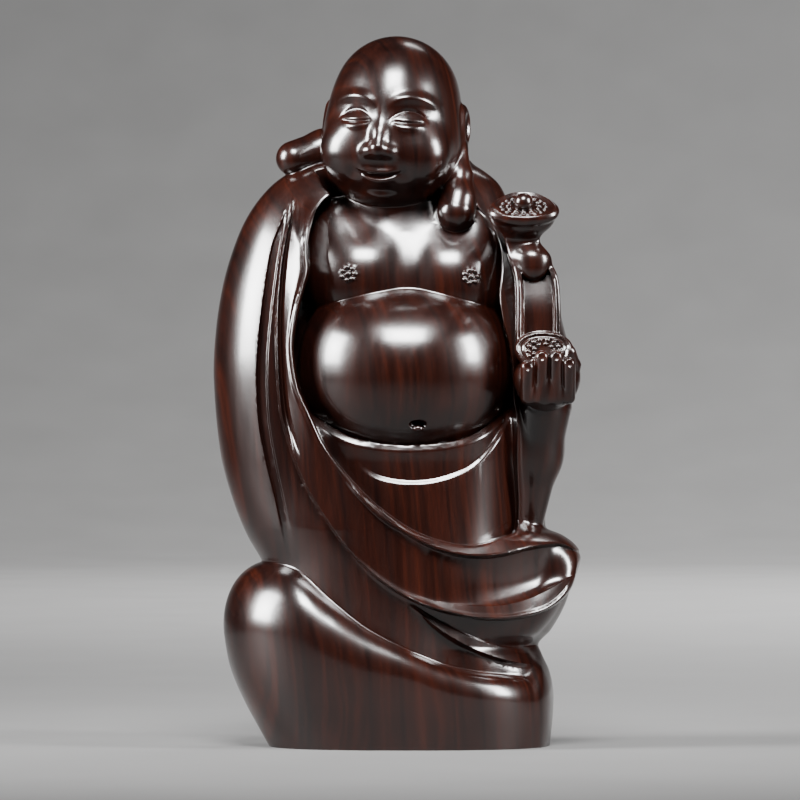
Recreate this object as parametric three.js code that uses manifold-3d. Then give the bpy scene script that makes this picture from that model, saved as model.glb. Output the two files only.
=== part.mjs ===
// Standing budai holding a ruyi, carved from one block of dark polished wood.
// The carving is one implicit field, negative inside the wood, that is turned into facets.
import * as THREE from 'three';
import { edgeTable, triTable } from 'three/addons/objects/MarchingCubes.js';
import { mergeVertices } from 'three/addons/utils/BufferGeometryUtils.js';
import Module from 'manifold-3d';

// Driving dimension, in millimetres
const HEIGHT = 400;

// Proportions and carving are shares of the height: one unit is a hundredth of it.
// X runs to the right in the front view, Y runs away from the viewer, Z runs up from the underside.
const UNIT = HEIGHT / 100;

// Sampling, in units, and the number of facets kept
const CELL = 0.5;
const LOW = { x: -27.5, y: -20.5, z: -1.6 };
const HIGH = { x: 27.5, y: 15, z: 101.2 };
const FOOT_SPARE = -1;
const FACETS = 9600;
const FACE_IMPORTANCE = 12;
const HAND_IMPORTANCE = 6;
const BLOCK = 120;

const { clamp, lerp } = THREE.MathUtils;

// Blending operators

// Smooth union of two fields: k is the width of the blend
function join(a, b, k) {
  const h = Math.max(k - Math.abs(a - b), 0) / k;
  return Math.min(a, b) - (h * h * k) / 4;
}

// Smooth cut: what is inside b is taken out of a
function cut(a, b, k) {
  return -join(-a, b, k);
}

// Smooth intersection
function common(a, b, k) {
  return -join(-a, -b, k);
}

// Goes smoothly from 0 at one value to 1 at the other, whichever is larger
function ramp(value, zero, one) {
  const t = clamp((value - zero) / (one - zero), 0, 1);
  return t * t * (3 - 2 * t);
}

function bump(distance, width) {
  const t = distance / width;
  return Math.exp(-t * t);
}

// Simple solids

// Field of an ellipsoid from a point already relative to its centre
function egg(x, y, z, [a, b, c]) {
  const k0 = Math.hypot(x / a, y / b, z / c);
  const k1 = Math.hypot(x / (a * a), y / (b * b), z / (c * c));
  return k1 < 1e-9 ? -Math.min(a, b, c) : (k0 * (k0 - 1)) / k1;
}

function ellipsoid(p, { centre, radii }) {
  return egg(p.x - centre[0], p.y - centre[1], p.z - centre[2], radii);
}

// Field of a ball swept from a to b whose radius goes from ra to rb
function capsule(p, a, b, ra, rb = ra) {
  const ax = p.x - a[0];
  const ay = p.y - a[1];
  const az = p.z - a[2];
  const bx = b[0] - a[0];
  const by = b[1] - a[1];
  const bz = b[2] - a[2];
  const t = clamp((ax * bx + ay * by + az * bz) / (bx * bx + by * by + bz * bz), 0, 1);
  return Math.hypot(ax - t * bx, ay - t * by, az - t * bz) - lerp(ra, rb, t);
}

// A row of balls joined into one tapering limb: each knot is [x, y, z, radius]
function limb(p, knots, k = 0.4) {
  let d = Infinity;
  for (let i = 1; i < knots.length; i++) {
    const [a, b] = [knots[i - 1], knots[i]];
    d = join(d === Infinity ? 1e3 : d, capsule(p, a, b, a[3], b[3]), k);
  }
  return d;
}

// Smooth curve through [height, value] pairs, held level past its ends
function profile(pairs) {
  const slopes = pairs.map((_, i) => {
    const before = pairs[Math.max(i - 1, 0)];
    const after = pairs[Math.min(i + 1, pairs.length - 1)];
    return (after[1] - before[1]) / (after[0] - before[0]);
  });
  let lastZ = NaN;
  let lastValue = 0;
  return z => {
    if (z === lastZ) return lastValue;
    lastZ = z;
    const held = clamp(z, pairs[0][0], pairs.at(-1)[0]);
    let i = 0;
    while (i < pairs.length - 2 && held > pairs[i + 1][0]) i++;
    const span = pairs[i + 1][0] - pairs[i][0];
    const t = (held - pairs[i][0]) / span;
    const t2 = t * t;
    const t3 = t2 * t;
    lastValue =
      (2 * t3 - 3 * t2 + 1) * pairs[i][1] +
      (t3 - 2 * t2 + t) * span * slopes[i] +
      (3 * t2 - 2 * t3) * pairs[i + 1][1] +
      (t3 - t2) * span * slopes[i + 1];
    return lastValue;
  };
}

// Body whose level sections are rounded boxes, given by its outline in front and side view.
// Where there is a plain right side, the back half goes over to it.
function loft(p, { left, right, plainRight, front, back, squareness }) {
  const l = left(p.z);
  const r = plainRight ? lerp(right(p.z), plainRight(p.z), ramp(p.y, -3, 9)) : right(p.z);
  const half = (r - l) / 2;
  const depth = p.y < 0 ? front(p.z) : back(p.z);
  const u = Math.abs(p.x - l - half) / half;
  const v = Math.abs(p.y) / depth;
  const q = Math.pow(Math.pow(u, squareness) + Math.pow(v, squareness), 1 / squareness);
  if (q < 1e-6) return -Math.min(half, depth);
  const gx = Math.pow(u / q, squareness - 1) / half;
  const gy = Math.pow(v / q, squareness - 1) / depth;
  return (q - 1) / Math.hypot(gx, gy);
}

// Lines drawn on the front view, as a grid of signed distances

const MAP_STEP = 0.25;
const MAP = { x: -28, z: -2.5, columns: 225, rows: 420 };

// Distance to a spline through [x, z] points: negative inside a closed line,
// and negative to the right of an open one that is drawn downwards.
class FrontLine {
  constructor(points, closed) {
    const knots = points.map(([x, z]) => new THREE.Vector3(x, 0, z));
    const curve = new THREE.CatmullRomCurve3(knots, closed, 'catmullrom', 0.5);
    this.path = curve.getPoints(points.length * 7);
    this.closed = closed;
    this.signed = new Float32Array(MAP.columns * MAP.rows);
    for (let row = 0, i = 0; row < MAP.rows; row++) {
      for (let column = 0; column < MAP.columns; column++, i++) {
        this.signed[i] = this.measure(MAP.x + column * MAP_STEP, MAP.z + row * MAP_STEP);
      }
    }
    this.plain = this.signed.map(Math.abs);
  }

  measure(x, z) {
    let nearest = Infinity;
    let side = 1;
    let inside = false;
    for (let i = 1; i < this.path.length; i++) {
      const a = this.path[i - 1];
      const b = this.path[i];
      const bx = b.x - a.x;
      const bz = b.z - a.z;
      const ax = x - a.x;
      const az = z - a.z;
      const t = clamp((ax * bx + az * bz) / (bx * bx + bz * bz + 1e-12), 0, 1);
      const d = (ax - t * bx) ** 2 + (az - t * bz) ** 2;
      if (d < nearest) {
        nearest = d;
        side = ax * bz - az * bx > 0 ? 1 : -1;
      }
      if (a.z > z !== b.z > z && x < a.x + ((z - a.z) * bx) / bz) inside = !inside;
    }
    const sign = this.closed ? (inside ? -1 : 1) : side;
    return sign * Math.sqrt(nearest);
  }

  // Distance without a sign, for what lies along the line
  gap(x, z) {
    return this.at(x, z, this.plain);
  }

  at(x, z, m = this.signed) {
    const u = clamp((x - MAP.x) / MAP_STEP, 0, MAP.columns - 1.001);
    const w = clamp((z - MAP.z) / MAP_STEP, 0, MAP.rows - 1.001);
    const i = Math.floor(u);
    const j = Math.floor(w);
    const k = j * MAP.columns + i;
    const low = lerp(m[k], m[k + 1], u - i);
    const high = lerp(m[k + MAP.columns], m[k + MAP.columns + 1], u - i);
    return lerp(low, high, w - j);
  }
}

// The mantle: the outer robe from the shoulders to the hem, as [height, value] outlines
const MANTLE = {
  left: profile([
    [0, -14], [14, -16.5], [21, -17.8], [25.8, -19.1], [29.7, -21.3], [34.6, -23.3], [41, -25],
    [51.6, -26], [58.6, -25.7], [65, -24.7], [69.9, -23.3], [74.2, -21.5], [77.7, -19.1],
    [80.1, -16.5], [81.8, -13.2], [83.2, -8],
  ]),
  right: profile([
    [0, 20.7], [5, 21.3], [10.5, 21.1], [13, 20], [14.3, 19.4], [16.2, 21.8], [19.8, 24.2],
    [23.3, 25.2], [25.7, 25.3], [28, 24.3], [29.8, 22.3], [31, 20.4], [35.3, 21.3], [40.3, 22.7],
    [45.9, 24.2], [51, 24.9], [56, 24.2], [60, 23.2], [64.3, 22.3], [67.1, 21.2], [69.9, 19.6],
    [73.4, 17.4], [77.4, 14.6], [80.4, 11.7], [81.9, 9.3], [83.2, 5],
  ]),
  plainRight: profile([
    [0, 20.7], [12, 21], [24, 21.6], [35, 22.2], [45, 23.6], [53, 24.2], [60, 23.2], [67.1, 21.2],
    [73.4, 17.4], [77.4, 14.6], [80.4, 11.7], [83.2, 5],
  ]),
  front: profile([
    [0, 13], [10, 13.9], [18, 14.7], [25, 15], [32, 14.7], [40, 14.3], [52, 14.2], [62, 13.4],
    [70, 11.6], [76, 9.2], [80, 6.8], [83.2, 4],
  ]),
  back: profile([
    [0, 11.5], [15, 12.4], [30, 12.6], [45, 12.6], [60, 12], [70, 10.6], [77, 8.6], [81, 6.6],
    [83.2, 4.5],
  ]),
  squareness: 2.35,
};
const MANTLE_TOP = 83;
const MANTLE_TOP_BLEND = 3;

// The cloth sack at the foot
const SACK = {
  left: profile([
    [0, -18.2], [6.4, -21.7], [10.9, -23.6], [15.5, -24.5], [19, -24.8], [26, -24.9],
  ]),
  right: profile([[0, 20.8], [6, 21.3], [10.5, 21], [14, 20], [26, 18]]),
  front: profile([[0, 15], [6, 16.2], [12, 16.7], [18, 16.6], [26, 15.6]]),
  back: profile([[0, 12.3], [8, 13.4], [16, 13.6], [26, 12.6]]),
  squareness: 2.5,
};
const SACK_TOP = profile([
  [-26, 25.9], [-19, 26.3], [-14, 26], [-9.6, 22.2], [-4.5, 17.7], [0.7, 14.4], [5.8, 12],
  [10.9, 10.8], [14.4, 10.4], [22, 10],
]);
const SACK_TOP_SLOPE = 0.8;
const SACK_ROUNDING = { left: 8.5, right: 2.2 };

// Outlines in the front view
const POCKET = new FrontLine([
  [-8, 85], [-11, 83.5], [-11.9, 81.6], [-11.2, 80.3], [-10.5, 78.8], [-9.5, 77.6], [-10.5, 76.6],
  [-11.5, 75.2], [-12.1, 73.1], [-12.5, 70.9], [-12.5, 68.7], [-12.4, 66.8], [-13, 64.4],
  [-13.7, 61.9], [-14.3, 58.6], [-14.5, 55.5], [-13.8, 50.8], [-12.1, 46.8], [-10, 42.2], [-6.8, 38], [-2.4, 33.7],
  [3.2, 30.1], [9.5, 28.5], [14.5, 29.6], [16.8, 31.2], [16.9, 38.8], [16.8, 45.2], [16.2, 48.7],
  [16, 53], [15.5, 56.5], [14.6, 60.3], [14.2, 63.5], [14.5, 67.4], [14.3, 70.4], [13, 73.4],
  [10.8, 76.3], [9, 80], [4, 84],
], true);
const SWAG = new FrontLine([
  [-15.1, 74.3], [-16.4, 67.1], [-16.9, 58.6], [-16.5, 48.7], [-15.5, 43.9], [-13.8, 39],
  [-11.6, 34.7], [-6.8, 27.9], [-1.8, 23.3], [3.2, 20.5], [8.2, 19], [13.3, 18.2], [18.2, 18.6],
  [22, 20.1], [24.2, 22.2], [25.1, 24.8], [24.9, 27], [23.7, 28.5], [21.6, 29], [18.4, 28.5],
  [14.5, 27.6], [9.5, 27.7], [4, 30.5], [-2, 35], [-6, 40], [-9.5, 46.8], [-11.5, 55.5],
  [-10, 64.3], [-9.5, 72.7], [-12, 77.8],
], true);
const SCOOP = new FrontLine([
  [23.9, 24], [22.7, 23], [21.1, 22.2], [18.4, 21.1], [14.8, 20.2], [11.2, 20], [7.6, 20.3],
  [4, 21.4], [0.4, 23.2], [-2.4, 25.1], [-5.2, 27.7], [-7.2, 30.8], [-7.3, 33.9], [-5.6, 33.9],
  [-3.1, 32.3], [0.4, 30.2], [4, 28.2], [7.6, 27.3], [11.2, 27], [14.8, 27.3], [18.4, 28.1],
  [22, 28.7], [23.7, 28.2], [24.6, 27.1], [24.7, 25.4],
], true);
const UNDER = new FrontLine([
  [1.6, 21.2], [3.6, 19.2], [6.5, 17.4], [10.7, 15.5], [14.5, 14.3], [17.4, 13.8], [20.4, 14.2],
  [26, 17], [29, 24], [25.1, 24.8], [22, 21], [14, 19.5], [7, 20.5],
], true);
const HEM = new FrontLine([
  [1.6, 20.8], [4, 18.3], [5.8, 16.9], [7.6, 15.8], [11.2, 14.1], [14.8, 12.8], [18.4, 11.8],
  [18.9, 10.3], [14.8, 8.6], [7.6, 9.2], [0.4, 12], [-5.2, 16.2], [-6.6, 20.5], [-2.4, 21.9],
], true);
const SHELL_EDGE = new FrontLine([
  [-15.7, 75.6], [-17.8, 69.9], [-19.1, 61.4], [-19.8, 53.2], [-19.5, 45.9], [-18.5, 40.3],
  [-17.1, 34.6], [-15.5, 26.7],
], false);
const STRIP_EDGE = new FrontLine([
  [-15.8, 73.5], [-17.2, 64.3], [-18.1, 54.4], [-17.9, 45.9], [-16.6, 38.5],
], false);
const FOLD_EDGE = new FrontLine([
  [-14.3, 76.6], [-15.3, 68.5], [-15.8, 61.3], [-15.7, 54.5], [-15.1, 48], [-14, 43.1],
  [-13.3, 39.5],
], false);
const WAIST = new FrontLine([
  [-14, 48.6], [-12, 46.8], [-8.3, 44.5], [-5.1, 43.2], [-0.3, 42.5], [5.6, 42.7], [9.5, 43.5],
  [12.4, 45.1], [14.7, 47.3], [17.5, 50.5],
], false);
const WAIST_FOLD = new FrontLine([
  [-5.8, 40.9], [-4.4, 39.3], [-1.9, 38.1], [1.8, 37.6], [5.6, 38], [9.5, 39.4], [12, 41.5],
  [14, 44.2], [16, 48.3],
], false);

// Heights of the carved cloth above or below the mantle's plain surface
const RELIEF = {
  swag: 1.4, edge: 0.5, ledge: 2.6, bevel: 0.5, bevelWidth: 1.7, scoop: 2.4, scoopWidth: 3.4,
  under: 2.3, hem: 1.1, shellStep: 0.6, stripStep: 0.45, roll: 0.9, groove: 0.45, grooveWidth: 0.5,
  sleeve: 2.4, sleeveFold: 18.5,
};

// Rises steeply from the edge of a hollow and levels out at its middle
function hollow(distanceInside, width) {
  const t = clamp(distanceInside / width, 0, 1);
  return t * (2 - t);
}

function mantleRelief(x, z) {
  const swag = SWAG.at(x, z);
  const toRight = ramp(x, -8, 10);
  const ledge = ramp(x, 8, 15) * ramp(z, 24, 27.5);
  const inSwag = ramp(swag, lerp(RELIEF.edge, RELIEF.ledge, ledge), -RELIEF.edge / 2);
  const outside = 1 - inSwag;
  let h = RELIEF.swag * inSwag;
  h -= RELIEF.bevel * toRight * clamp(-swag / RELIEF.bevelWidth, 0, 1);
  h -= RELIEF.scoop * toRight * hollow(-SCOOP.at(x, z), RELIEF.scoopWidth);

  h -= RELIEF.under * ramp(UNDER.at(x, z), 0, -RELIEF.edge) * outside * ramp(x, 1, 8);
  h -= RELIEF.hem * ramp(HEM.at(x, z), 0, -RELIEF.edge) * outside * ramp(x, 2, 9);

  const strips = outside * ramp(z, 26, 40) * ramp(z, 76, 72) * ramp(x, -2, -8);
  h -= RELIEF.shellStep * strips * ramp(-SHELL_EDGE.at(x, z), -0.1, RELIEF.edge);
  h -= RELIEF.stripStep * strips * ramp(-STRIP_EDGE.at(x, z), -0.1, RELIEF.edge) * ramp(z, 38, 44);
  h -= RELIEF.groove * bump(SHELL_EDGE.gap(x, z), RELIEF.grooveWidth) * ramp(z, 25, 30);

  // The main fold is a long roll between its groove and the open edge of the robe
  const fold = FOLD_EDGE.gap(x, z);
  const share = fold / (fold + Math.max(POCKET.at(x, z), 0) + 1e-6);
  const onRoll = ramp(-FOLD_EDGE.at(x, z), 0, RELIEF.edge) * ramp(z, 36, 52) * ramp(x, -2, -8);
  h += RELIEF.roll * onRoll * Math.sqrt(share * (1 - share));
  h -= RELIEF.groove * bump(fold, RELIEF.grooveWidth);

  const sleeve = ramp(x, 15.5, 18) * ramp(z, 30, 32) * ramp(z, 56, 50);
  h -= RELIEF.sleeve * sleeve;
  h -= RELIEF.groove * sleeve * bump(x - RELIEF.sleeveFold, RELIEF.grooveWidth);
  return h;
}

// Plain folds of the back, sweeping down from one shoulder, as [height, x] lines
const BACK_FOLDS = [
  profile([[24, 12], [40, 3], [56, -6], [70, -12], [80, -14]]),
  profile([[22, 19], [38, 11.5], [54, 1.5], [68, -5], [80, -8]]),
  profile([[34, 20], [48, 12.5], [60, 6], [72, 0.5], [80, -2]]),
];
const BACK_FOLD = { height: 0.75, near: 1, far: 3.2 };

function backRelief(x, z) {
  let h = 0;
  for (const line of BACK_FOLDS) {
    const across = x - line(z);
    h += BACK_FOLD.height * bump(across, across > 0 ? BACK_FOLD.near : BACK_FOLD.far);
  }
  return h * ramp(z, 24, 40) * ramp(z, 79, 66);
}

// Body forms inside the open robe
const NECK = [[0.5, 0, 74, 7.5], [-0.5, -1.5, 84, 7]];
const BELLY = { centre: [1, -6.6, 53.2], radii: [15, 12, 12.6] };
const WAIST_ROBE = {
  left: profile([[20, -16], [60, -16]]),
  right: profile([[20, 16.9], [60, 16.9]]),
  front: profile([[20, 14.6], [30, 13.6], [40, 13.7], [44, 14.1], [50, 12]]),
  back: profile([[20, 4], [60, 4]]),
  squareness: 2.6,
};
const WAIST_LIP = { height: 0.5, width: 0.55, drop: 0.3, dropWidth: 0.6 };
const CHEST_FORMS = [
  { centre: [-6.3, -3.6, 68.4], radii: [7.6, 7.2, 6.9] },
  { centre: [8.8, -3.6, 68], radii: [6.7, 7.2, 6.7] },
  { centre: [1.2, -1.6, 72.5], radii: [13.5, 8, 8.5] },
];
const CHEST_BLEND = 2.6;
const POCKET_DEPTH = -4;
const NAVEL = { centre: [2.8, -18.1, 45.4], radii: [0.95, 1.6, 0.6] };
const NIPPLES = [[-6.9, 66.4], [10.2, 66]];
const NIPPLE = { bead: 0.4, ring: 0.78, count: 6 };

// Roll of cloth round the back of the neck, ending in a knob over one shoulder
const ROLL = [
  [-14.7, -1.5, 82.8, 2.5], [-10.5, 0.5, 84.2, 2.7], [-5, 5, 84.2, 2.8], [2, 5.4, 83.2, 2.8],
  [8, 3, 80.6, 2.8], [11.6, -0.5, 77.6, 2.6],
];
const ROLL_BLEND = { knob: 0.4, shoulder: 3.5 };

// Arm, sleeve and hand at the viewer's right
const SLEEVE = [[18.4, -3, 32, 2.2], [19.5, -5, 41, 3.4], [20.3, -7.2, 47.8, 4.1]];
const FOREARM = [[21, -5, 49.5, 3.3], [20.8, -11, 50.8, 3.2]];
const PALM = { centre: [20.7, -13, 51.6], radii: [4.6, 3.4, 4.1] };
const FINGERS = [
  { x: 18.1, top: 53.4, radius: 0.97 },
  { x: 20.1, top: 54.8, radius: 1.02 },
  { x: 22.15, top: 54.8, radius: 1 },
  { x: 24.1, top: 53.9, radius: 0.9 },
];
const FINGER = { foot: 48.8, footDepth: -15, bend: 51, bendDepth: -16.9, tipDepth: -16.3 };
const THUMB = [[24.9, -11.5, 50.5, 1], [24.9, -13, 53.6, 0.95], [24.3, -14.3, 55.6, 0.8]];

// The ruyi: a shaft, a boss, a plate by the hand and a cloud head
const SHAFT = [
  { z: 56, x: 19.6, y: -14.4, half: 3.1 },
  { z: 62, x: 19.6, y: -14.3, half: 3.05 },
  { z: 66, x: 19.3, y: -13.8, half: 2.95 },
  { z: 68.5, x: 18.3, y: -13.2, half: 2.7 },
  { z: 70.5, x: 17.4, y: -12.8, half: 2.35 },
  { z: 73, x: 17.1, y: -12.6, half: 2.4 },
];
const SHAFT_CENTRE = profile(SHAFT.map(({ z, x }) => [z, x]));
const SHAFT_FRONT = profile(SHAFT.map(({ z, y }) => [z, y]));
const SHAFT_HALF = profile(SHAFT.map(({ z, half }) => [z, half]));
const SHAFT_BACK = profile([[55, -5], [62, -6.5], [68, -8], [73, -9.2]]);
const SHAFT_ENDS = { low: 55, high: 73 };
const SHAFT_PANEL = { depth: 0.4, border: 1, low: 58, high: 65.5 };
const SHAFT_CROWN = 0.05;
const BOSS = { centre: [19.4, -14.2, 66.2], radii: [1.8, 1.3, 1.9] };
const CLOUD_HEAD = {
  centre: [17.9, -13.2, 74.9], tilt: 38, halfWidth: 4.9, halfLength: 3.3, lobes: 3, lobeShare: 0.06,
  thickness: 1.5, rounding: 1.6, rim: 0.2, ball: 1.3, ballRise: 1.2, beads: 12, bead: 0.36,
  ring: 2.1,
};
const HAND_PLATE = {
  centre: [20.3, -13.9, 55.4], tilt: 80, halfWidth: 4, halfLength: 2.9, lobes: 3, lobeShare: -0.05,
  thickness: 1.3, rounding: 0.7, rim: 0.45, ball: 0, ballRise: 0, beads: 14, bead: 0.4, ring: 2.2,
};

// Head, in its own frame: origin at its middle, X to the right, Y back, Z up.
// The face is calm and laid out in thirds, with its eyes at half the height.
const HEAD = { centre: [-0.5, -3.6, 87.6], yaw: -11, roll: 3, pitch: 2 };
const SKULL = { centre: [0, 0.7, 3.3], radii: [8.9, 9.9, 9.1] };
const JAW = { centre: [0, -0.9, -3.4], radii: [9.7, 9.4, 9] };
const CHEEK = { centre: [4.9, -6, -4.6], radii: [3.9, 3.2, 3.6] };
const NOSE = [[0, -8.6, 1.6, 0.6], [0, -9.9, -2, 0.9], [0, -10.6, -4.2, 1.35]];
const NOSE_WING = { centre: [1.55, -9.8, -4.6], radii: [0.95, 1.2, 0.9] };
const EAR = { centre: [9.5, 1.4, -0.4], radii: [1.1, 2.3, 3.6] };
const EAR_HOLLOW = { centre: [10.5, 0.9, 0.2], radii: [0.7, 1.2, 2] };
const EAR_LOBE = [[9.5, 0.8, -3.4, 1], [9.7, -1, -7.8, 1.15], [8.9, -3.2, -12, 2.5]];

// Lines of the face as arches over x: middle, height there, half width and fall at the ends
const BROW = { x: 4.3, z: 3.2, half: 3.6, fall: 1.2, height: 0.45, width: 0.75 };
const LID_CREASE = { x: 3.8, z: 1.3, half: 2.8, fall: 1.6, height: -0.22, width: 0.28 };
const LID_EDGE = { x: 3.8, z: -0.45, half: 2.3, fall: -0.1, height: -0.34, width: 0.26 };
const LOWER_LID = { x: 3.8, z: -1.3, half: 2.1, fall: -0.6, height: 0.12, width: 0.35 };
const MOUTH_LINE = { x: 0, z: -8, half: 3.3, fall: -0.75, height: -0.5, width: 0.24 };
const UPPER_LIP = { x: 0, z: -7.45, half: 3, fall: -0.4, height: 0.42, width: 0.5 };
const LOWER_LIP = { x: 0, z: -8.75, half: 2.5, fall: -0.8, height: 0.55, width: 0.6 };

// Rounds of the face: middle, half width and half height, and how far they stand out
const SOCKET = { x: 3.6, z: 0.1, across: 2.9, up: 1.7, height: -0.9 };
const EYEBALL = { x: 3.8, z: -0.35, across: 2.2, up: 1.35, height: 1.05 };
const CHIN = { x: 0, z: -10.9, across: 2.4, up: 1.3, height: 0.5 };
const CHIN_HOLLOW = { x: 0, z: -9.8, across: 2.2, up: 0.6, height: -0.3 };
const MOUTH_CORNER = { x: 3.5, z: -7.3, across: 0.6, up: 0.6, height: -0.4 };
const FACE_LINES = [BROW, LID_CREASE, LID_EDGE, LOWER_LID, MOUTH_LINE, UPPER_LIP, LOWER_LIP];
const FACE_ROUNDS = [SOCKET, EYEBALL, CHIN, CHIN_HOLLOW, MOUTH_CORNER];

const turn = new THREE.Matrix4()
  .makeRotationFromEuler(new THREE.Euler(
    -HEAD.pitch * THREE.MathUtils.DEG2RAD,
    HEAD.roll * THREE.MathUtils.DEG2RAD,
    HEAD.yaw * THREE.MathUtils.DEG2RAD,
    'ZYX',
  ))
  .setPosition(...HEAD.centre)
  .invert();

function faceRelief(x, z) {
  let h = 0;
  for (const line of FACE_LINES) {
    const t = (x - line.x) / line.half;
    const taper = Math.max(0, 1 - t * t);
    h += line.height * taper * bump(z - line.z + line.fall * t * t, line.width);
  }
  for (const round of FACE_ROUNDS) {
    h += round.height * bump(Math.hypot((x - round.x) / round.across, (z - round.z) / round.up), 1);
  }
  return h;
}

// Both halves of the face mirror each other, so x is folded to one side
function headField(p) {
  const h = new THREE.Vector3(p.x, p.y, p.z).applyMatrix4(turn);
  h.x = Math.abs(h.x);
  let d = join(ellipsoid(h, SKULL), ellipsoid(h, JAW), 4);
  if (d < 4) {
    d = join(d, ellipsoid(h, CHEEK), 2.5);
    d -= faceRelief(h.x, h.z) * ramp(h.y, -4, -7);
    d = join(d, join(limb(h, NOSE, 1), ellipsoid(h, NOSE_WING), 0.8), 1);
  }
  return join(d, earField(h), 0.7);
}

function earField(h) {
  const shell = cut(ellipsoid(h, EAR), ellipsoid(h, EAR_HOLLOW), 0.4);
  return join(shell, limb(h, EAR_LOBE, 1), 0.8);
}

function torsoField(p) {
  const belly = ellipsoid(p, BELLY);
  const chest = CHEST_FORMS.map(form => ellipsoid(p, form)).reduce((a, b) => join(a, b, CHEST_BLEND));
  const below = -WAIST.at(p.x, p.z);
  const fold = WAIST_FOLD.gap(p.x, p.z);
  const overFold = WAIST_FOLD.gap(p.x, p.z - 0.9);
  const lips = WAIST_LIP.height * (bump(below + 0.4, WAIST_LIP.width) + bump(fold, WAIST_LIP.width))
    - WAIST_LIP.drop * bump(overFold, WAIST_LIP.dropWidth);
  const robe = common(loft(p, WAIST_ROBE) - (p.y < 0 ? lips : 0), below, 0.5);
  let d = join(belly, join(chest, limb(p, NECK), 2), 0.35);
  d = cut(d, ellipsoid(p, NAVEL), 0.3);
  d = join(d, robe, 0.15);
  return d;
}

// The mantle with its carved cloth, opened over the chest and belly
function mantleField(p) {
  let d = loft(p, MANTLE);
  if (d < 6) {
    d -= mantleRelief(p.x, p.z) * ramp(p.y, 1.5, -4);
    d -= backRelief(p.x, p.z) * ramp(p.y, 1, 5);
  }
  d = common(d, p.z - MANTLE_TOP, MANTLE_TOP_BLEND);
  const pocket = Math.max(POCKET.at(p.x, p.z), p.y - POCKET_DEPTH);
  return cut(d, pocket, 0.45);
}

function sackField(p) {
  const top = (p.z - SACK_TOP(p.x)) * SACK_TOP_SLOPE;
  const rounding = lerp(SACK_ROUNDING.left, SACK_ROUNDING.right, ramp(p.x, -14, 4));
  return common(loft(p, SACK), top, rounding);
}

function ruyiField(p) {
  const half = SHAFT_HALF(p.z);
  const side = Math.abs(p.x - SHAFT_CENTRE(p.z));
  const panel = SHAFT_PANEL.depth * ramp(side, half - SHAFT_PANEL.border, half - SHAFT_PANEL.border - 0.25)
    * ramp(p.z, SHAFT_PANEL.low - 1, SHAFT_PANEL.low)
    * ramp(p.z, SHAFT_PANEL.high + 0.5, SHAFT_PANEL.high);
  const front = SHAFT_FRONT(p.z) + panel + SHAFT_CROWN * side * side;
  const slab = Math.max(front - p.y, p.y - SHAFT_BACK(p.z));
  let d = common(side - half, slab, 0.6);
  d = common(d, Math.max(SHAFT_ENDS.low - p.z, p.z - SHAFT_ENDS.high), 0.3);
  d = join(d, ellipsoid(p, BOSS), 0.25);
  d = join(d, cloudField(p, HAND_PLATE), 0.3);
  return join(d, cloudField(p, CLOUD_HEAD), 1.2);
}

// A thick lobed plate that tilts towards the viewer, with a rim, a ring of beads and a ball
function cloudField(p, cloud) {
  const c = Math.cos(cloud.tilt * THREE.MathUtils.DEG2RAD);
  const s = Math.sin(cloud.tilt * THREE.MathUtils.DEG2RAD);
  const x = p.x - cloud.centre[0];
  const dy = p.y - cloud.centre[1];
  const dz = p.z - cloud.centre[2];
  const y = c * dy + s * dz;
  const z = -s * dy + c * dz;
  if (Math.hypot(x, y, z) > 3 * cloud.halfWidth) return Math.hypot(x, y, z) - 2 * cloud.halfWidth;
  const across = x / cloud.halfWidth;
  const along = y / cloud.halfLength;
  const lobes = 1 + cloud.lobeShare * Math.cos(cloud.lobes * Math.atan2(across, along));
  const flat = (Math.hypot(across, along) - lobes) * cloud.halfLength;
  const rim = cloud.rim * bump(flat + 0.45, 0.4);
  let d = common(flat, Math.abs(z + 0.5) - cloud.thickness - rim, cloud.rounding);
  if (cloud.ball) d = join(d, Math.hypot(x, y, z - cloud.ballRise) - cloud.ball, 0.2);
  const step = (2 * Math.PI) / cloud.beads;
  const angle = Math.round(Math.atan2(along, across) / step) * step;
  const bead = Math.hypot(
    x - cloud.ring * Math.cos(angle),
    y - (cloud.ring * Math.sin(angle) * cloud.halfLength) / cloud.halfWidth,
    z - cloud.thickness + 0.5,
  ) - cloud.bead;
  return join(d, bead, 0.1);
}

function handField(p) {
  let d = join(limb(p, FOREARM), ellipsoid(p, PALM), 1.5);
  d = join(d, limb(p, SLEEVE, 2), 0.3);
  for (const { x, top, radius } of FINGERS) {
    const finger = limb(p, [
      [x, FINGER.footDepth, FINGER.foot, radius],
      [x, FINGER.bendDepth, FINGER.bend, radius * 1.05],
      [x, FINGER.tipDepth, top, radius],
    ], 0.5);
    d = join(d, finger, 0.3);
  }
  return join(d, limb(p, THUMB), 0.4);
}

// Rosette of small beads on the chest
function nippleField(p) {
  let d = Infinity;
  for (const { x, y, z } of NIPPLE_CENTRES) {
    d = Math.min(d, Math.hypot(p.x - x, p.y - y, p.z - z) - NIPPLE.bead * 1.1);
    for (let i = 0; i < NIPPLE.count; i++) {
      const a = (i * 2 * Math.PI) / NIPPLE.count;
      const bx = p.x - x - NIPPLE.ring * Math.cos(a);
      const bz = p.z - z - NIPPLE.ring * Math.sin(a);
      d = Math.min(d, Math.hypot(bx, p.y - y, bz) - NIPPLE.bead);
    }
  }
  return d;
}

// Depth at which a line of sight from the front meets the torso
function torsoFront(x, z) {
  let near = -20;
  let far = -2;
  while (far - near > 1e-3) {
    const y = (near + far) / 2;
    if (torsoField({ x, y, z }) > 0) near = y;
    else far = y;
  }
  return far;
}

const NIPPLE_CENTRES = NIPPLES.map(([x, z]) => ({ x, y: torsoFront(x, z), z }));

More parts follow.
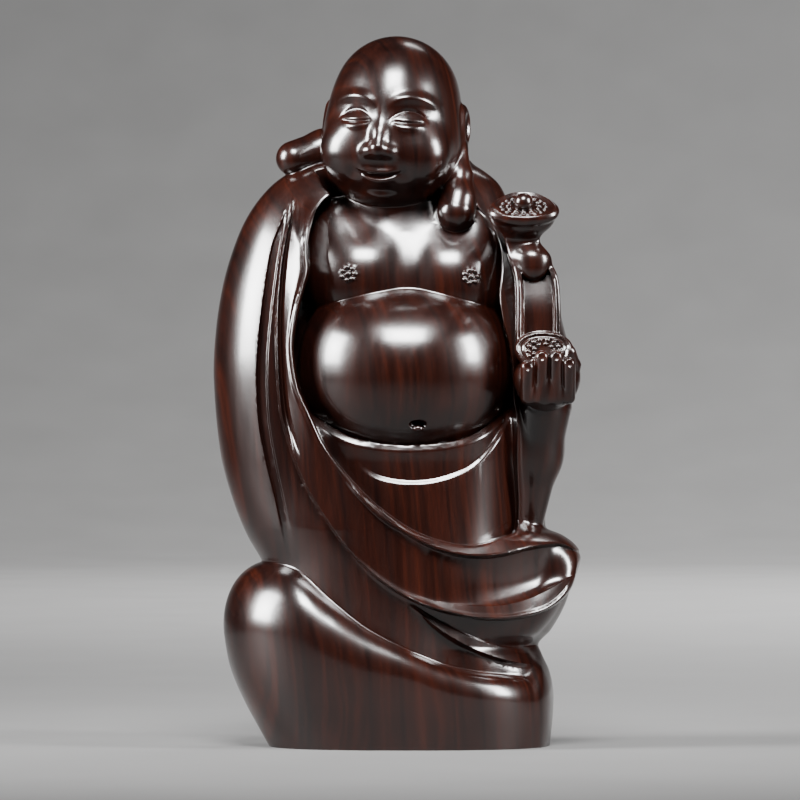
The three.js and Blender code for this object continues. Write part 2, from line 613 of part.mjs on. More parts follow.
// The whole figure, with some wood to spare under its foot
function figureField(x, y, z) {
  const p = { x, y, z };
  let d = mantleField(p);
  if (z > 26) {
    d = join(d, Math.max(torsoField(p), y - 2), 0.15);
    if (z > 60 && z < 72 && y < -5) d = join(d, nippleField(p), 0.08);
  }
  if (z < 30) d = join(d, sackField(p), lerp(0.3, 3, ramp(x, 17.5, 20.5)));
  if (z > 70) d = join(d, limb(p, ROLL, 1), lerp(ROLL_BLEND.knob, ROLL_BLEND.shoulder, ramp(x, -8, 2)));
  if (x > 10 && z > 28 && z < 84) {
    d = join(d, handField(p), lerp(2.5, 0.5, ramp(z, 42, 49)));
    d = join(d, ruyiField(p), 0.35);
  }
  if (z > 68) d = join(d, headField(p), 0.3);
  return Math.max(d, FOOT_SPARE - z);
}

// Facets

// Closed surface of the field by marching cubes, with shared vertices
function polygonise(field) {
  const count = ['x', 'y', 'z'].map(axis => Math.ceil((HIGH[axis] - LOW[axis]) / CELL) + 1);
  const [nx, ny, nz] = count;
  const values = new Float32Array(nx * ny * nz);
  for (let k = 0, i = 0; k < nz; k++) {
    for (let j = 0; j < ny; j++) {
      for (let c = 0; c < nx; c++, i++) {
        const value = field(LOW.x + c * CELL, LOW.y + j * CELL, LOW.z + k * CELL);
        values[i] = Math.abs(value) < 1e-4 ? 1e-4 : value;
      }
    }
  }
  const steps = [0, 1, 1 + nx, nx, nx * ny, 1 + nx * ny, 1 + nx + nx * ny, nx + nx * ny];
  const ends = [[0, 1], [1, 2], [3, 2], [0, 3], [4, 5], [5, 6], [7, 6], [4, 7], [0, 4], [1, 5], [2, 6], [3, 7]];
  const axes = [0, 1, 0, 1, 0, 1, 0, 1, 2, 2, 2, 2];
  const found = new Map();
  const positions = [];
  const triangles = [];
  const vertexOn = (base, edge) => {
    const a = base + steps[ends[edge][0]];
    const b = base + steps[ends[edge][1]];
    const key = a * 3 + axes[edge];
    if (found.has(key)) return found.get(key);
    const t = values[a] / (values[a] - values[b]);
    const place = [a % nx, Math.floor(a / nx) % ny, Math.floor(a / (nx * ny))];
    place[axes[edge]] += t;
    positions.push(LOW.x + place[0] * CELL, LOW.y + place[1] * CELL, LOW.z + place[2] * CELL);
    found.set(key, positions.length / 3 - 1);
    return positions.length / 3 - 1;
  };
  for (let k = 0; k < nz - 1; k++) {
    for (let j = 0; j < ny - 1; j++) {
      for (let c = 0; c < nx - 1; c++) {
        const base = c + nx * (j + ny * k);
        let code = 0;
        for (let corner = 0; corner < 8; corner++) {
          if (values[base + steps[corner]] < 0) code |= 1 << corner;
        }
        if (edgeTable[code] === 0) continue;
        for (let t = code * 16; triTable[t] !== -1; t += 3) {
          triangles.push(
            vertexOn(base, triTable[t]),
            vertexOn(base, triTable[t + 2]),
            vertexOn(base, triTable[t + 1]),
          );
        }
      }
    }
  }
  return { positions, triangles };
}

// Moves the vertices along the slope of the field until they lie on its surface
function settle(field, { positions, triangles }) {
  const step = CELL / 10;
  const settled = new Float64Array(positions.length);
  for (let i = 0; i < positions.length; i += 3) {
    let [x, y, z] = positions.slice(i, i + 3);
    for (let pass = 0; pass < 2; pass++) {
      const value = field(x, y, z);
      const gx = (field(x + step, y, z) - value) / step;
      const gy = (field(x, y + step, z) - value) / step;
      const gz = (field(x, y, z + step) - value) / step;
      const move = clamp(value / (gx * gx + gy * gy + gz * gz + 1e-6), -CELL / 4, CELL / 4);
      x -= move * gx;
      y -= move * gy;
      z -= move * gz;
    }
    settled.set([x, y, z], i);
  }
  return { positions: settled, triangles };
}

// Fewer facets by edge collapse, each to the point that keeps the surface best
function simplify({ positions, triangles }, target, importance) {
  const P = Float64Array.from(positions);
  const T = Int32Array.from(triangles);
  const vertexCount = P.length / 3;
  const quadrics = new Float64Array(vertexCount * 10);
  const around = Array.from({ length: vertexCount }, () => new Set());
  const alive = new Uint8Array(T.length / 3).fill(1);
  const stamp = new Int32Array(vertexCount);
  const normalOf = (a, b, c) => {
    const ux = P[3 * b] - P[3 * a];
    const uy = P[3 * b + 1] - P[3 * a + 1];
    const uz = P[3 * b + 2] - P[3 * a + 2];
    const vx = P[3 * c] - P[3 * a];
    const vy = P[3 * c + 1] - P[3 * a + 1];
    const vz = P[3 * c + 2] - P[3 * a + 2];
    return [uy * vz - uz * vy, uz * vx - ux * vz, ux * vy - uy * vx];
  };
  for (let t = 0; t < alive.length; t++) {
    const corners = [T[3 * t], T[3 * t + 1], T[3 * t + 2]];
    const n = normalOf(...corners);
    const size = Math.hypot(...n);
    const weight = (size * importance(P[3 * corners[0]], P[3 * corners[0] + 1], P[3 * corners[0] + 2])) / 2;
    const [a, b, c] = size > 0 ? n.map(v => v / size) : [0, 0, 0];
    const d = -(a * P[3 * corners[0]] + b * P[3 * corners[0] + 1] + c * P[3 * corners[0] + 2]);
    const q = [a * a, a * b, a * c, a * d, b * b, b * c, b * d, c * c, c * d, d * d];
    for (const v of corners) {
      around[v].add(t);
      for (let i = 0; i < 10; i++) quadrics[v * 10 + i] += q[i] * weight;
    }
  }
  const errorAt = (q, x, y, z) =>
    q[0] * x * x + 2 * q[1] * x * y + 2 * q[2] * x * z + 2 * q[3] * x + q[4] * y * y
    + 2 * q[5] * y * z + 2 * q[6] * y + q[7] * z * z + 2 * q[8] * z + q[9];
  const bestPoint = (u, v) => {
    const q = new Array(10);
    for (let i = 0; i < 10; i++) q[i] = quadrics[u * 10 + i] + quadrics[v * 10 + i];
    const middle = [0, 1, 2].map(i => (P[3 * u + i] + P[3 * v + i]) / 2);
    const pull = 1e-3 * (q[0] + q[4] + q[7]);
    const m = new THREE.Matrix3().set(
      q[0] + pull, q[1], q[2], q[1], q[4] + pull, q[5], q[2], q[5], q[7] + pull,
    );
    const point = new THREE.Vector3(
      pull * middle[0] - q[3], pull * middle[1] - q[6], pull * middle[2] - q[8],
    ).applyMatrix3(m.invert());
    const length = Math.hypot(P[3 * u] - P[3 * v], P[3 * u + 1] - P[3 * v + 1], P[3 * u + 2] - P[3 * v + 2]);
    if (!(point.distanceTo(new THREE.Vector3(...middle)) < 2 * length)) point.set(...middle);
    const cost = Math.max(errorAt(q, point.x, point.y, point.z), 0) + 1e-7 * length;
    return { u, v, point, cost, su: stamp[u], sv: stamp[v] };
  };
  const heap = [];
  const push = item => {
    let i = heap.push(item) - 1;
    while (i > 0) {
      const parent = (i - 1) >> 1;
      if (heap[parent].cost <= item.cost) break;
      heap[i] = heap[parent];
      i = parent;
    }
    heap[i] = item;
  };
  const pop = () => {
    const top = heap[0];
    const last = heap.pop();
    if (heap.length) {
      let i = 0;
      for (;;) {
        let child = 2 * i + 1;
        if (child >= heap.length) break;
        if (child + 1 < heap.length && heap[child + 1].cost < heap[child].cost) child++;
        if (heap[child].cost >= last.cost) break;
        heap[i] = heap[child];
        i = child;
      }
      heap[i] = last;
    }
    return top;
  };
  const neighboursOf = v => {
    const found = new Set();
    for (const t of around[v]) {
      for (let i = 0; i < 3; i++) if (T[3 * t + i] !== v) found.add(T[3 * t + i]);
    }
    return found;
  };
  const turnsOver = (v, other, point) => {
    for (const t of around[v]) {
      const corners = [T[3 * t], T[3 * t + 1], T[3 * t + 2]];
      if (corners.includes(other)) continue;
      const before = normalOf(...corners);
      const kept = [P[3 * v], P[3 * v + 1], P[3 * v + 2]];
      P.set([point.x, point.y, point.z], 3 * v);
      const after = normalOf(...corners);
      P.set(kept, 3 * v);
      const dot = before[0] * after[0] + before[1] * after[1] + before[2] * after[2];
      if (dot < 0.25 * Math.hypot(...before) * Math.hypot(...after) || Math.hypot(...after) < 1e-5) return true;
    }
    return false;
  };
  for (let v = 0; v < vertexCount; v++) {
    for (const w of neighboursOf(v)) if (v < w) push(bestPoint(v, w));
  }
  let left = alive.length;
  while (left > target && heap.length) {
    const { u, v, point, su, sv } = pop();
    if (stamp[u] !== su || stamp[v] !== sv || !around[u].size || !around[v].size) continue;
    const shared = [...neighboursOf(u)].filter(w => neighboursOf(v).has(w));
    if (shared.length !== 2 || turnsOver(u, v, point) || turnsOver(v, u, point)) continue;
    for (const t of [...around[v]]) {
      if (around[u].has(t)) {
        alive[t] = 0;
        left--;
        for (let i = 0; i < 3; i++) around[T[3 * t + i]].delete(t);
      } else {
        for (let i = 0; i < 3; i++) if (T[3 * t + i] === v) T[3 * t + i] = u;
        around[u].add(t);
      }
    }
    around[v].clear();
    P.set([point.x, point.y, point.z], 3 * u);
    for (let i = 0; i < 10; i++) quadrics[u * 10 + i] += quadrics[v * 10 + i];
    stamp[u]++;
    stamp[v]++;
    for (const w of neighboursOf(u)) push(bestPoint(u, w));
  }
  return { positions: P, triangles: [...T].filter((_, i) => alive[Math.floor(i / 3)]) };
}

// Solids

const wasm = await Module();
wasm.setup();

// Solid in millimetres from points in units
function solidOf(positions, triangles) {
  const numbers = new Map();
  const kept = [];
  const triVerts = Uint32Array.from(triangles, v => {
    if (!numbers.has(v)) {
      numbers.set(v, numbers.size);
      kept.push(positions[3 * v] * UNIT, positions[3 * v + 1] * UNIT, positions[3 * v + 2] * UNIT);
    }
    return numbers.get(v);
  });
  return new wasm.Manifold(new wasm.Mesh({ numProp: 3, vertProperties: new Float32Array(kept), triVerts }));
}

function geometryOf(solid) {
  const { vertProperties, triVerts } = solid.getMesh();
  const geometry = new THREE.BufferGeometry();
  geometry.setAttribute('position', new THREE.BufferAttribute(vertProperties, 3));
  geometry.setIndex(new THREE.BufferAttribute(triVerts, 1));
  geometry.computeVertexNormals();
  return geometry;
}

// More facets go to the face, the hand and the ruyi
function importance(x, y, z) {
  if (z > 76 && y < 0 && Math.abs(x) < 10) return FACE_IMPORTANCE;
  return x > 13 && z > 46 && z < 79 && y < -8 ? HAND_IMPORTANCE : 1;
}

const carved = simplify(settle(figureField, polygonise(figureField)), FACETS, importance);

// The underside is sawn flat at height zero
const blockGeometry = new THREE.BoxGeometry(BLOCK, BLOCK, BLOCK).translate(0, 0, BLOCK / 2);
blockGeometry.deleteAttribute('normal');
blockGeometry.deleteAttribute('uv');
const block = mergeVertices(blockGeometry);
const sawn = solidOf(carved.positions, carved.triangles)
  .intersect(solidOf(block.attributes.position.array, block.index.array));

const figure = new THREE.Mesh(
  geometryOf(sawn),
  new THREE.MeshStandardMaterial({ name: 'dark polished rosewood', color: 0x2a110b, roughness: 0.28 }),
);
figure.name = 'budai_figure';

const statue = new THREE.Group();
statue.name = 'budai_statue';
statue.add(figure);

export default statue;
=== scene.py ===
"""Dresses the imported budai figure: one finely carved piece of polished rosewood, a floor and soft light.

The figure is one field, negative inside the wood, with the same forms and names as in the part's
source, and finer carving on top. Its lengths are in units of a hundredth of the height.
"""

import math
from concurrent.futures import ThreadPoolExecutor

import bpy
import numpy as np
from mathutils import Matrix, Vector


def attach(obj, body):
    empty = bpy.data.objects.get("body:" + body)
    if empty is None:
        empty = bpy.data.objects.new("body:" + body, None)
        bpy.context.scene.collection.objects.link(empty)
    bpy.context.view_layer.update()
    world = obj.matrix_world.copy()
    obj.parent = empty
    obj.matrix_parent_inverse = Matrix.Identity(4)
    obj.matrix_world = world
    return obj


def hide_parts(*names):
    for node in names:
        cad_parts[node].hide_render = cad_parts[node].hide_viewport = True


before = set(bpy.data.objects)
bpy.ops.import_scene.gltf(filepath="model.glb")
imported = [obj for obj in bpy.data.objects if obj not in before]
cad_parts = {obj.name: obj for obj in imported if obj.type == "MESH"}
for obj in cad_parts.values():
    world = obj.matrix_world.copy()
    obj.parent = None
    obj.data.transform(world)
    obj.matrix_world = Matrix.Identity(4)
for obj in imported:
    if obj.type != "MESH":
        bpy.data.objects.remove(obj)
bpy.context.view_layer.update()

HEIGHT = 0.4  # metres, the part's driving size
UNIT = HEIGHT / 100


# Blending operators

def lerp(a, b, t):
    return a + (b - a) * t


def join(a, b, k):
    """Smooth union: k is the width of the blend."""
    h = np.maximum(k - np.abs(a - b), 0) / k
    return np.minimum(a, b) - h * h * k / 4


def cut(a, b, k):
    """Smooth cut: what is inside b is taken out of a."""
    return -join(-a, b, k)


def common(a, b, k):
    """Smooth intersection."""
    return -join(-a, -b, k)


def ramp(value, zero, one):
    """Goes smoothly from 0 at one value to 1 at the other, whichever is larger."""
    t = np.clip((value - zero) / (one - zero), 0, 1)
    return t * t * (3 - 2 * t)


def bump(distance, width):
    return np.exp(-((distance / width) ** 2))


# Simple solids: p is a tuple of the x, y and z of many points

def ellipsoid(p, centre, radii, squareness=2):
    """An ellipsoid, whose front view is a rounded box if the squareness is above 2."""
    u, v, w = (np.maximum(np.abs(p[i] - centre[i]) / radii[i], 1e-6) for i in range(3))
    front = (u**squareness + w**squareness) ** (1 / squareness)
    q = np.sqrt(front * front + v * v)
    steepness = np.sqrt(
        (front * (u / front) ** (squareness - 1) / radii[0]) ** 2 + (v / radii[1]) ** 2
        + (front * (w / front) ** (squareness - 1) / radii[2]) ** 2
    )
    return (q - 1) * q / steepness


def capsule(p, a, b):
    """A ball swept between two knots of x, y, z and radius."""
    along = [b[i] - a[i] for i in range(3)]
    q = [p[i] - a[i] for i in range(3)]
    t = np.clip(sum(q[i] * along[i] for i in range(3)) / sum(v * v for v in along), 0, 1)
    return np.sqrt(sum((q[i] - t * along[i]) ** 2 for i in range(3))) - lerp(a[3], b[3], t)


def limb(p, knots, k=0.4):
    d = capsule(p, knots[0], knots[1])
    for a, b in zip(knots[1:], knots[2:]):
        d = join(d, capsule(p, a, b), k)
    return d


def profile(pairs, step=0.05):
    """Smooth curve through (height, value) pairs, held level past its ends."""
    heights, values = np.array(pairs, float).T
    padded_h = np.concatenate([heights[:1], heights, heights[-1:]])
    padded_v = np.concatenate([values[:1], values, values[-1:]])
    slopes = (padded_v[2:] - padded_v[:-2]) / (padded_h[2:] - padded_h[:-2])
    table_h = np.arange(heights[0], heights[-1], step)
    i = np.clip(np.searchsorted(heights, table_h, side="right") - 1, 0, len(heights) - 2)
    span = heights[i + 1] - heights[i]
    t = (table_h - heights[i]) / span
    table_v = (
        (2 * t**3 - 3 * t**2 + 1) * values[i] + (t**3 - 2 * t**2 + t) * span * slopes[i]
        + (3 * t**2 - 2 * t**3) * values[i + 1] + (t**3 - t**2) * span * slopes[i + 1]
    )
    return lambda z: np.interp(z, table_h, table_v)


def loft(p, shape):
    """Body whose level sections are rounded boxes, given by its outline in front and side view."""
    x, y, z = p
    left, right = shape["left"](z), shape["right"](z)
    if "plain_right" in shape:
        right = lerp(right, shape["plain_right"](z), ramp(y, *shape["plain_over"]))
    half = (right - left) / 2
    depth = np.where(y < 0, shape["front"](z), shape["back"](z))
    n = shape["squareness"]
    u = np.abs(x - left - half) / half
    v = np.abs(y) / depth
    q = np.maximum((u**n + v**n) ** (1 / n), 1e-6)
    return (q - 1) / np.hypot((u / q) ** (n - 1) / half, (v / q) ** (n - 1) / depth)


class FrontLine:
    """A smooth line through (x, z) points of the front view, kept as a map of the distances to it.

    Distances are negative inside a closed line, and to the right of an open one drawn downwards.
    """

    STEP = 0.1
    MARGIN = 4
    LAST = 1.001  # keeps a reading inside the map's last cell

    def __init__(self, points, closed):
        path = self.spline(np.array(points, float), closed)
        self.low = path.min(0) - self.MARGIN
        self.count = np.ceil((path.max(0) + self.MARGIN - self.low) / self.STEP).astype(int) + 1
        x = (self.low[0] + self.STEP * np.arange(self.count[0])).astype(np.float32)[:, None]
        z = (self.low[1] + self.STEP * np.arange(self.count[1])).astype(np.float32)[None, :]
        nearest = np.full(self.count, np.inf, np.float32)
        side = np.ones(self.count, np.float32)
        inside = np.zeros(self.count, bool)
        for a, b in zip(path, path[1:]):
            bx, bz = float(b[0] - a[0]), float(b[1] - a[1])
            ax, az = x - float(a[0]), z - float(a[1])
            t = np.clip((ax * bx + az * bz) / (bx * bx + bz * bz + 1e-12), 0, 1)
            d = (ax - t * bx) ** 2 + (az - t * bz) ** 2
            closer = d < nearest
            nearest[closer] = d[closer]
            side[closer] = np.where(ax * bz - az * bx > 0, 1, -1)[closer]
            if a[1] != b[1]:
                inside ^= ((a[1] > z) != (b[1] > z)) & (ax < az * bx / bz)
        self.signed = np.sqrt(nearest) * (np.where(inside, -1, 1) if closed else side)

    @staticmethod
    def spline(p, closed, pieces=8):
        if closed:
            p = np.vstack([p[-1:], p, p[:2]])
        else:
            p = np.vstack([2 * p[0] - p[1], p, 2 * p[-1] - p[-2]])
        slopes = (p[2:] - p[:-2]) / 2
        starts, ends = p[1:-2, None], p[2:-1, None]
        t = (np.arange(pieces) / pieces)[None, :, None]
        curve = (
            (2 * t**3 - 3 * t**2 + 1) * starts + (t**3 - 2 * t**2 + t) * slopes[:-1, None]
            + (3 * t**2 - 2 * t**3) * ends + (t**3 - t**2) * slopes[1:, None]
        )
        return np.vstack([curve.reshape(-1, 2), p[-2]])

    def at(self, x, z):
        """The distance, read between the points of the map."""
        u = np.clip((x - self.low[0]) / self.STEP, 0, self.count[0] - self.LAST)
        w = np.clip((z - self.low[1]) / self.STEP, 0, self.count[1] - self.LAST)
        i, j = u.astype(np.int64), w.astype(np.int64)
        fu, fw = u - i, w - j
        k = i * self.count[1] + j
        flat = self.signed.ravel()
        low = lerp(flat[k], flat[k + self.count[1]], fu)
        high = lerp(flat[k + 1], flat[k + self.count[1] + 1], fu)
        return lerp(low, high, fw)


# The mantle: the outer robe from the shoulders to the hem, as (height, value) outlines. Towards the back,
# over the depths plain_over, its right outline turns into a plain one.
MANTLE = {
    "left": profile([
        (0, -14), (14, -16.5), (21, -17.8), (25.8, -19.1), (29.7, -21.3), (34.6, -23.3), (41, -25),
        (51.6, -26), (58.6, -25.7), (65, -24.7), (69.9, -23.3), (74.2, -21.5), (77.7, -19.1),
        (80.1, -16.5), (81.8, -13.2), (83.2, -8),
    ]),
    "right": profile([
        (0, 20.7), (5, 21.3), (10.5, 21.1), (13, 20), (14.3, 19.4), (16.2, 21.8), (19.8, 24.2),
        (23.3, 25.2), (25.7, 25.3), (28, 24.3), (29.8, 22.3), (31, 20.4), (35.3, 21.3),
        (40.3, 22.7), (45.9, 24.2), (51, 24.9), (56, 24.2), (60, 23.2), (64.3, 22.3), (67.1, 21.2),
        (69.9, 19.6), (73.4, 17.4), (77.4, 14.6), (80.4, 11.7), (81.9, 9.3), (83.2, 5),
    ]),
    "plain_right": profile([
        (0, 20.7), (12, 21), (24, 21.6), (35, 22.2), (45, 23.6), (53, 24.2), (60, 23.2),
        (67.1, 21.2), (73.4, 17.4), (77.4, 14.6), (80.4, 11.7), (83.2, 5),
    ]),
    "plain_over": (-3, 9),
    "front": profile([
        (0, 13), (10, 13.9), (18, 14.7), (25, 15), (32, 14.7), (40, 14.3), (52, 14.2), (62, 13.4),
        (70, 11.6), (76, 9.2), (80, 6.8), (83.2, 4),
    ]),
    "back": profile([
        (0, 11.5), (15, 12.4), (30, 12.6), (45, 12.6), (60, 12), (70, 10.6), (77, 8.6), (81, 6.6),
        (83.2, 4.5),
    ]),
    "squareness": 2.35,
}
MANTLE_TOP = 83
MANTLE_TOP_BLEND = 3

# The cloth sack at the foot
SACK = {
    "left": profile([
        (0, -18.2), (6.4, -21.7), (10.9, -23.6), (15.5, -24.5), (19, -24.8), (26, -24.9),
    ]),
    "right": profile([(0, 20.8), (6, 21.3), (10.5, 21), (14, 20), (26, 18)]),
    "front": profile([(0, 15), (6, 16.2), (12, 16.7), (18, 16.6), (26, 15.6)]),
    "back": profile([(0, 12.3), (8, 13.4), (16, 13.6), (26, 12.6)]),
    "squareness": 2.5,
}
SACK_TOP = profile([
    (-26, 25.9), (-19, 26.3), (-14, 26), (-9.6, 22.2), (-4.5, 17.7), (0.7, 14.4), (5.8, 12),
    (10.9, 10.8), (14.4, 10.4), (22, 10),
])
SACK_TOP_SLOPE = 0.8
SACK_ROUNDING = {"left": 8.5, "right": 3.2, "over": (-14, 4)}

# Outlines in the front view
POCKET = FrontLine([
    (-8, 85), (-11, 83.5), (-11.9, 81.6), (-11.2, 80.3), (-10.5, 78.8), (-9.5, 77.6),
    (-10.5, 76.6), (-11.5, 75.2), (-12.1, 73.1), (-12.5, 70.9), (-12.5, 68.7), (-12.4, 66.8),
    (-13, 64.4), (-13.7, 61.9), (-14.3, 58.6), (-14.5, 55.5), (-13.8, 50.8), (-12.1, 46.8),
    (-10, 42.2), (-6.8, 38), (-2.4, 33.7), (3.2, 30.1), (9.5, 28.5), (14.5, 29.6), (16.8, 31.2),
    (16.9, 38.8), (16.8, 45.2), (16.2, 48.7), (16, 53), (15.5, 56.5), (14.6, 60.3), (14.2, 63.5),
    (14.5, 67.4), (14.3, 70.4), (13, 73.4), (10.8, 76.3), (9, 80), (4, 84),
], True)
SWAG = FrontLine([
    (-15.1, 74.3), (-16.4, 67.1), (-16.9, 58.6), (-16.5, 48.7), (-15.5, 43.9), (-13.8, 39),
    (-11.6, 34.7), (-6.8, 27.9), (-1.8, 23.3), (3.2, 20.5), (8.2, 19), (13.3, 18.2), (18.2, 18.6),
    (22, 20.1), (24.2, 22.2), (25.1, 24.8), (24.9, 27), (23.7, 28.5), (21.6, 29), (18.4, 28.9),
    (14.5, 29.2), (9.5, 29), (4, 31), (-2, 35), (-6, 40), (-9.5, 46.8), (-11.5, 55.5),
    (-10, 64.3), (-9.5, 72.7), (-9.5, 79), (-12, 82), (-14.3, 78.5),
], True)
SHELL_EDGE = FrontLine([
    (-15.2, 79), (-15.9, 75.2), (-17.8, 69.9), (-19.1, 61.4), (-19.8, 53.2), (-19.5, 45.9),
    (-18.5, 40.3), (-17.1, 34.6), (-15.5, 26.7),
], False)
STRIP_EDGE = FrontLine([
    (-14.7, 79), (-15.8, 73.5), (-17.2, 64.3), (-18.1, 54.4), (-17.9, 45.9), (-16.6, 38.5),
    (-15.2, 32), (-14, 25),
], False)
FOLD_EDGE = FrontLine([
    (-14, 79.5), (-14.4, 76), (-15.3, 68.5), (-15.8, 61.3), (-15.7, 54.5), (-15.1, 48), (-14, 43.1),
    (-12.9, 38.5), (-11.6, 34),
], False)
WAIST = FrontLine([
    (-14, 48.6), (-12, 46.8), (-8.3, 44.5), (-5.1, 43.2), (-0.3, 42.5), (5.6, 42.7), (9.5, 43.5),
    (12.4, 45.1), (14.7, 47.3), (17.5, 50.5),
], False)
WAIST_FOLD = FrontLine([
    (-5.8, 40.9), (-4.4, 39.3), (-1.9, 38.1), (1.8, 37.6), (5.6, 38), (9.5, 39.4), (12, 41.5),
    (14, 44.2), (16, 48.3),
], False)

# Lines of the swag as (x, height): its crest, the foot of its hollow and its rim, and the fold below it
CREST = profile([
    (-10, 41.6), (-7.9, 38.6), (-5, 35.3), (-2.1, 32.6), (0.7, 30.9), (3.7, 29.2), (6.5, 28.1),
    (9.4, 27.5), (12.3, 27.4), (15.2, 27.8), (18.1, 28.5), (20.9, 28.9), (23, 28.9), (25.3, 28),
])
HOLLOW_FOOT = profile([
    (-10.8, 33.2), (-7.9, 29.7), (-5, 26.6), (-2.1, 24.2), (0.7, 22.5), (3.7, 21.3), (6.5, 20.6),
    (9.4, 20.2), (12.3, 20.1), (15.2, 20.3), (18.1, 21), (20.9, 22.2), (24.4, 24.2),
])
SWAG_RIM = profile([
    (-10.8, 32.3), (-7.9, 28.8), (-5, 25.6), (-2.1, 23.1), (0.7, 21.3), (3.7, 20.2), (6.5, 19.2),
    (9.5, 18.6), (12.3, 18.4), (15.2, 18.4), (18.1, 18.8), (20.9, 19.6), (23.2, 21.3), (24.7, 23.4),
])
FOLD_TOP = profile([
    (0.7, 21.2), (1.9, 20.4), (3.7, 19.2), (6.5, 17.5), (9.5, 16), (12.3, 14.9), (15.2, 14.1),
    (18, 13.9), (21, 14.1), (25, 14.4),
])
FOLD_LIP = profile([
    (0.7, 20.9), (2.5, 19.5), (5.1, 17.4), (8, 15.5), (10.9, 14), (13.7, 12.9), (16, 12.2),
    (18.4, 11.7), (21, 11.3), (25, 10.8),
])

# Heights of the carved cloth above or below the mantle's plain surface, with the widths of its edges.
# The bowl's powers shape it from its foot and from its crest, and its peak is the largest value they give.
RELIEF = {
    "swag": 1.4, "swag_top_share": 0.6, "edge": 0.3, "ledge": 2.6, "hollow": 0.65, "hollow_edge": 0.6,
    "bowl": (0.25, 1.9), "bowl_powers": (0.6, 0.9), "bowl_peak": 0.365,
    "bead": 0.2, "bead_width": 0.3, "bead_above": 0.2, "lip": 0.45, "lip_edge": 0.25,
    "under": (0.9, 1.5), "fold": (1, 0.5), "fold_least": 0.05, "hem": 1, "hem_edge": 0.9,
    "shell_step": 0.4, "shell_slope": 0.4, "strip_step": 0.3, "strip_slope": 0.5,
    "wedge": 1.3, "roll": 1.3, "roll_power": 5, "split": 0.3, "split_x": -13.65, "split_width": 0.5,
    "rim": 0.22, "rim_inset": 0.7, "rim_width": 0.25,
    "sleeve": 2.4, "groove": 0.45, "groove_x": 18.5, "groove_width": 0.3,
}

# Where each form of the cloth starts and where it is full, over x, over the height and over its edge
OVER_X = {
    "ledge": (6, 15), "bowl": (5, 19), "hollow_left": (-11, 6), "hollow_right": (25.4, 19.5),
    "lip": (-9, -4), "bead_left": (-7, -1), "bead_right": (25, 23), "hem": (20.5, 13), "fold": (1, 7),
    "left": (-2, -8), "sleeve": (15.5, 18),
}
OVER_Z = {
    "ledge": (24, 27.5), "swag": (58, 36), "shoulder": (77.5, 72), "lip": (38, 35), "fold": (27, 25),
    "strips_low": (26, 40), "strips_top": (76.5, 72), "wedge": (40, 47), "roll": (36, 52),
    "split_low": (70, 73), "split_top": (77.5, 74.5), "rim": (76, 70),
    "sleeve_low": (30, 32), "sleeve_top": (56, 50), "back_low": (24, 40), "back_top": (79, 66),
}
OVER_EDGE = {"fold": (-0.05, 0.25), "shell": (-0.05, 0.3), "strip": (-0.3, 0.05)}


def hollow(distance_inside, width):
    """Falls steeply from the crisp edge of a hollow and levels out at its floor."""
    t = np.clip(distance_inside / width, 0, 1)
    return t * (2 - t)


def share(a, b):
    """How far a point is from line a on its way to line b, from 0 to 1."""
    a, b = np.maximum(a, 0), np.maximum(b, 0)
    return a / (a + b + 1e-6)


def across(line, x, z, step=0.1):
    """How far a point is above a line, measured square to it."""
    steepness = (line(x + step) - line(x - step)) / (2 * step)
    return (z - line(x)) / np.hypot(1, steepness)


def carve_hollow(h, x, z, in_swag, pocket):
    """The swag's hollow, under a lip that faces up, ends in a brim that catches the light."""
    r = RELIEF
    crest, foot, rim = CREST(x), HOLLOW_FOOT(x), SWAG_RIM(x)
    up = np.clip((z - foot) / (crest - foot), 0, 1)
    brim = np.clip((z - rim) / (foot - rim), 0, 1)
    bowl = lerp(*r["bowl"], ramp(x, *OVER_X["bowl"])) * up ** r["bowl_powers"][0]
    bowl = bowl * (1 - up) ** r["bowl_powers"][1] / r["bowl_peak"]
    scoop = (r["hollow"] + bowl) * hollow(crest - r["lip_edge"] - z, r["hollow_edge"]) * brim
    h = h - scoop * ramp(x, *OVER_X["hollow_left"]) * ramp(x, *OVER_X["hollow_right"])
    lip = share(pocket, z - crest) * ramp(crest - z, 3 * r["lip_edge"], r["lip_edge"])
    h = h + r["lip"] * lip * ramp(z, *OVER_Z["lip"]) * ramp(x, *OVER_X["lip"]) * in_swag
    bead = r["bead"] * bump(across(SWAG_RIM, x, z) - r["bead_above"], r["bead_width"])
    return h + bead * ramp(x, *OVER_X["bead_left"]) * ramp(x, *OVER_X["bead_right"])


def carve_below(h, x, z, outside):
    """The cloth below the swag sinks towards a fold, which ends in a hem."""
    r = RELIEF
    rim, top, edge = SWAG_RIM(x), FOLD_TOP(x), FOLD_LIP(x)
    below_rim = np.clip((rim - z) / np.maximum(rim - top, r["fold_least"]), 0, 1)
    below_top = np.clip((top - z) / np.maximum(top - edge, r["fold_least"]), 0, 1)
    fold = lerp(*r["fold"], below_top)
    under = lerp(fold, lerp(*r["under"], below_rim), ramp(z - top, *OVER_EDGE["fold"]))
    hem = r["hem"] * hollow(edge - z, r["hem_edge"]) * ramp(x, *OVER_X["hem"])
    return h - (under + hem) * outside * ramp(x, *OVER_X["fold"]) * ramp(z, *OVER_Z["fold"])


def carve_strips(h, x, z, swag, outside):
    """Overlapping strips of cloth: each has a crisp edge and slopes down to the next."""
    r = RELIEF
    shell, strip = SHELL_EDGE.at(x, z), STRIP_EDGE.at(x, z)
    strips = outside * ramp(z, *OVER_Z["strips_low"]) * ramp(z, *OVER_Z["strips_top"])
    return h - strips * ramp(x, *OVER_X["left"]) * (
        r["shell_step"] * ramp(-shell, *OVER_EDGE["shell"])
        + r["shell_slope"] * share(-shell, strip)
        - r["strip_step"] * ramp(-strip, *OVER_EDGE["strip"])
        + r["strip_slope"] * share(-strip, swag)
    )


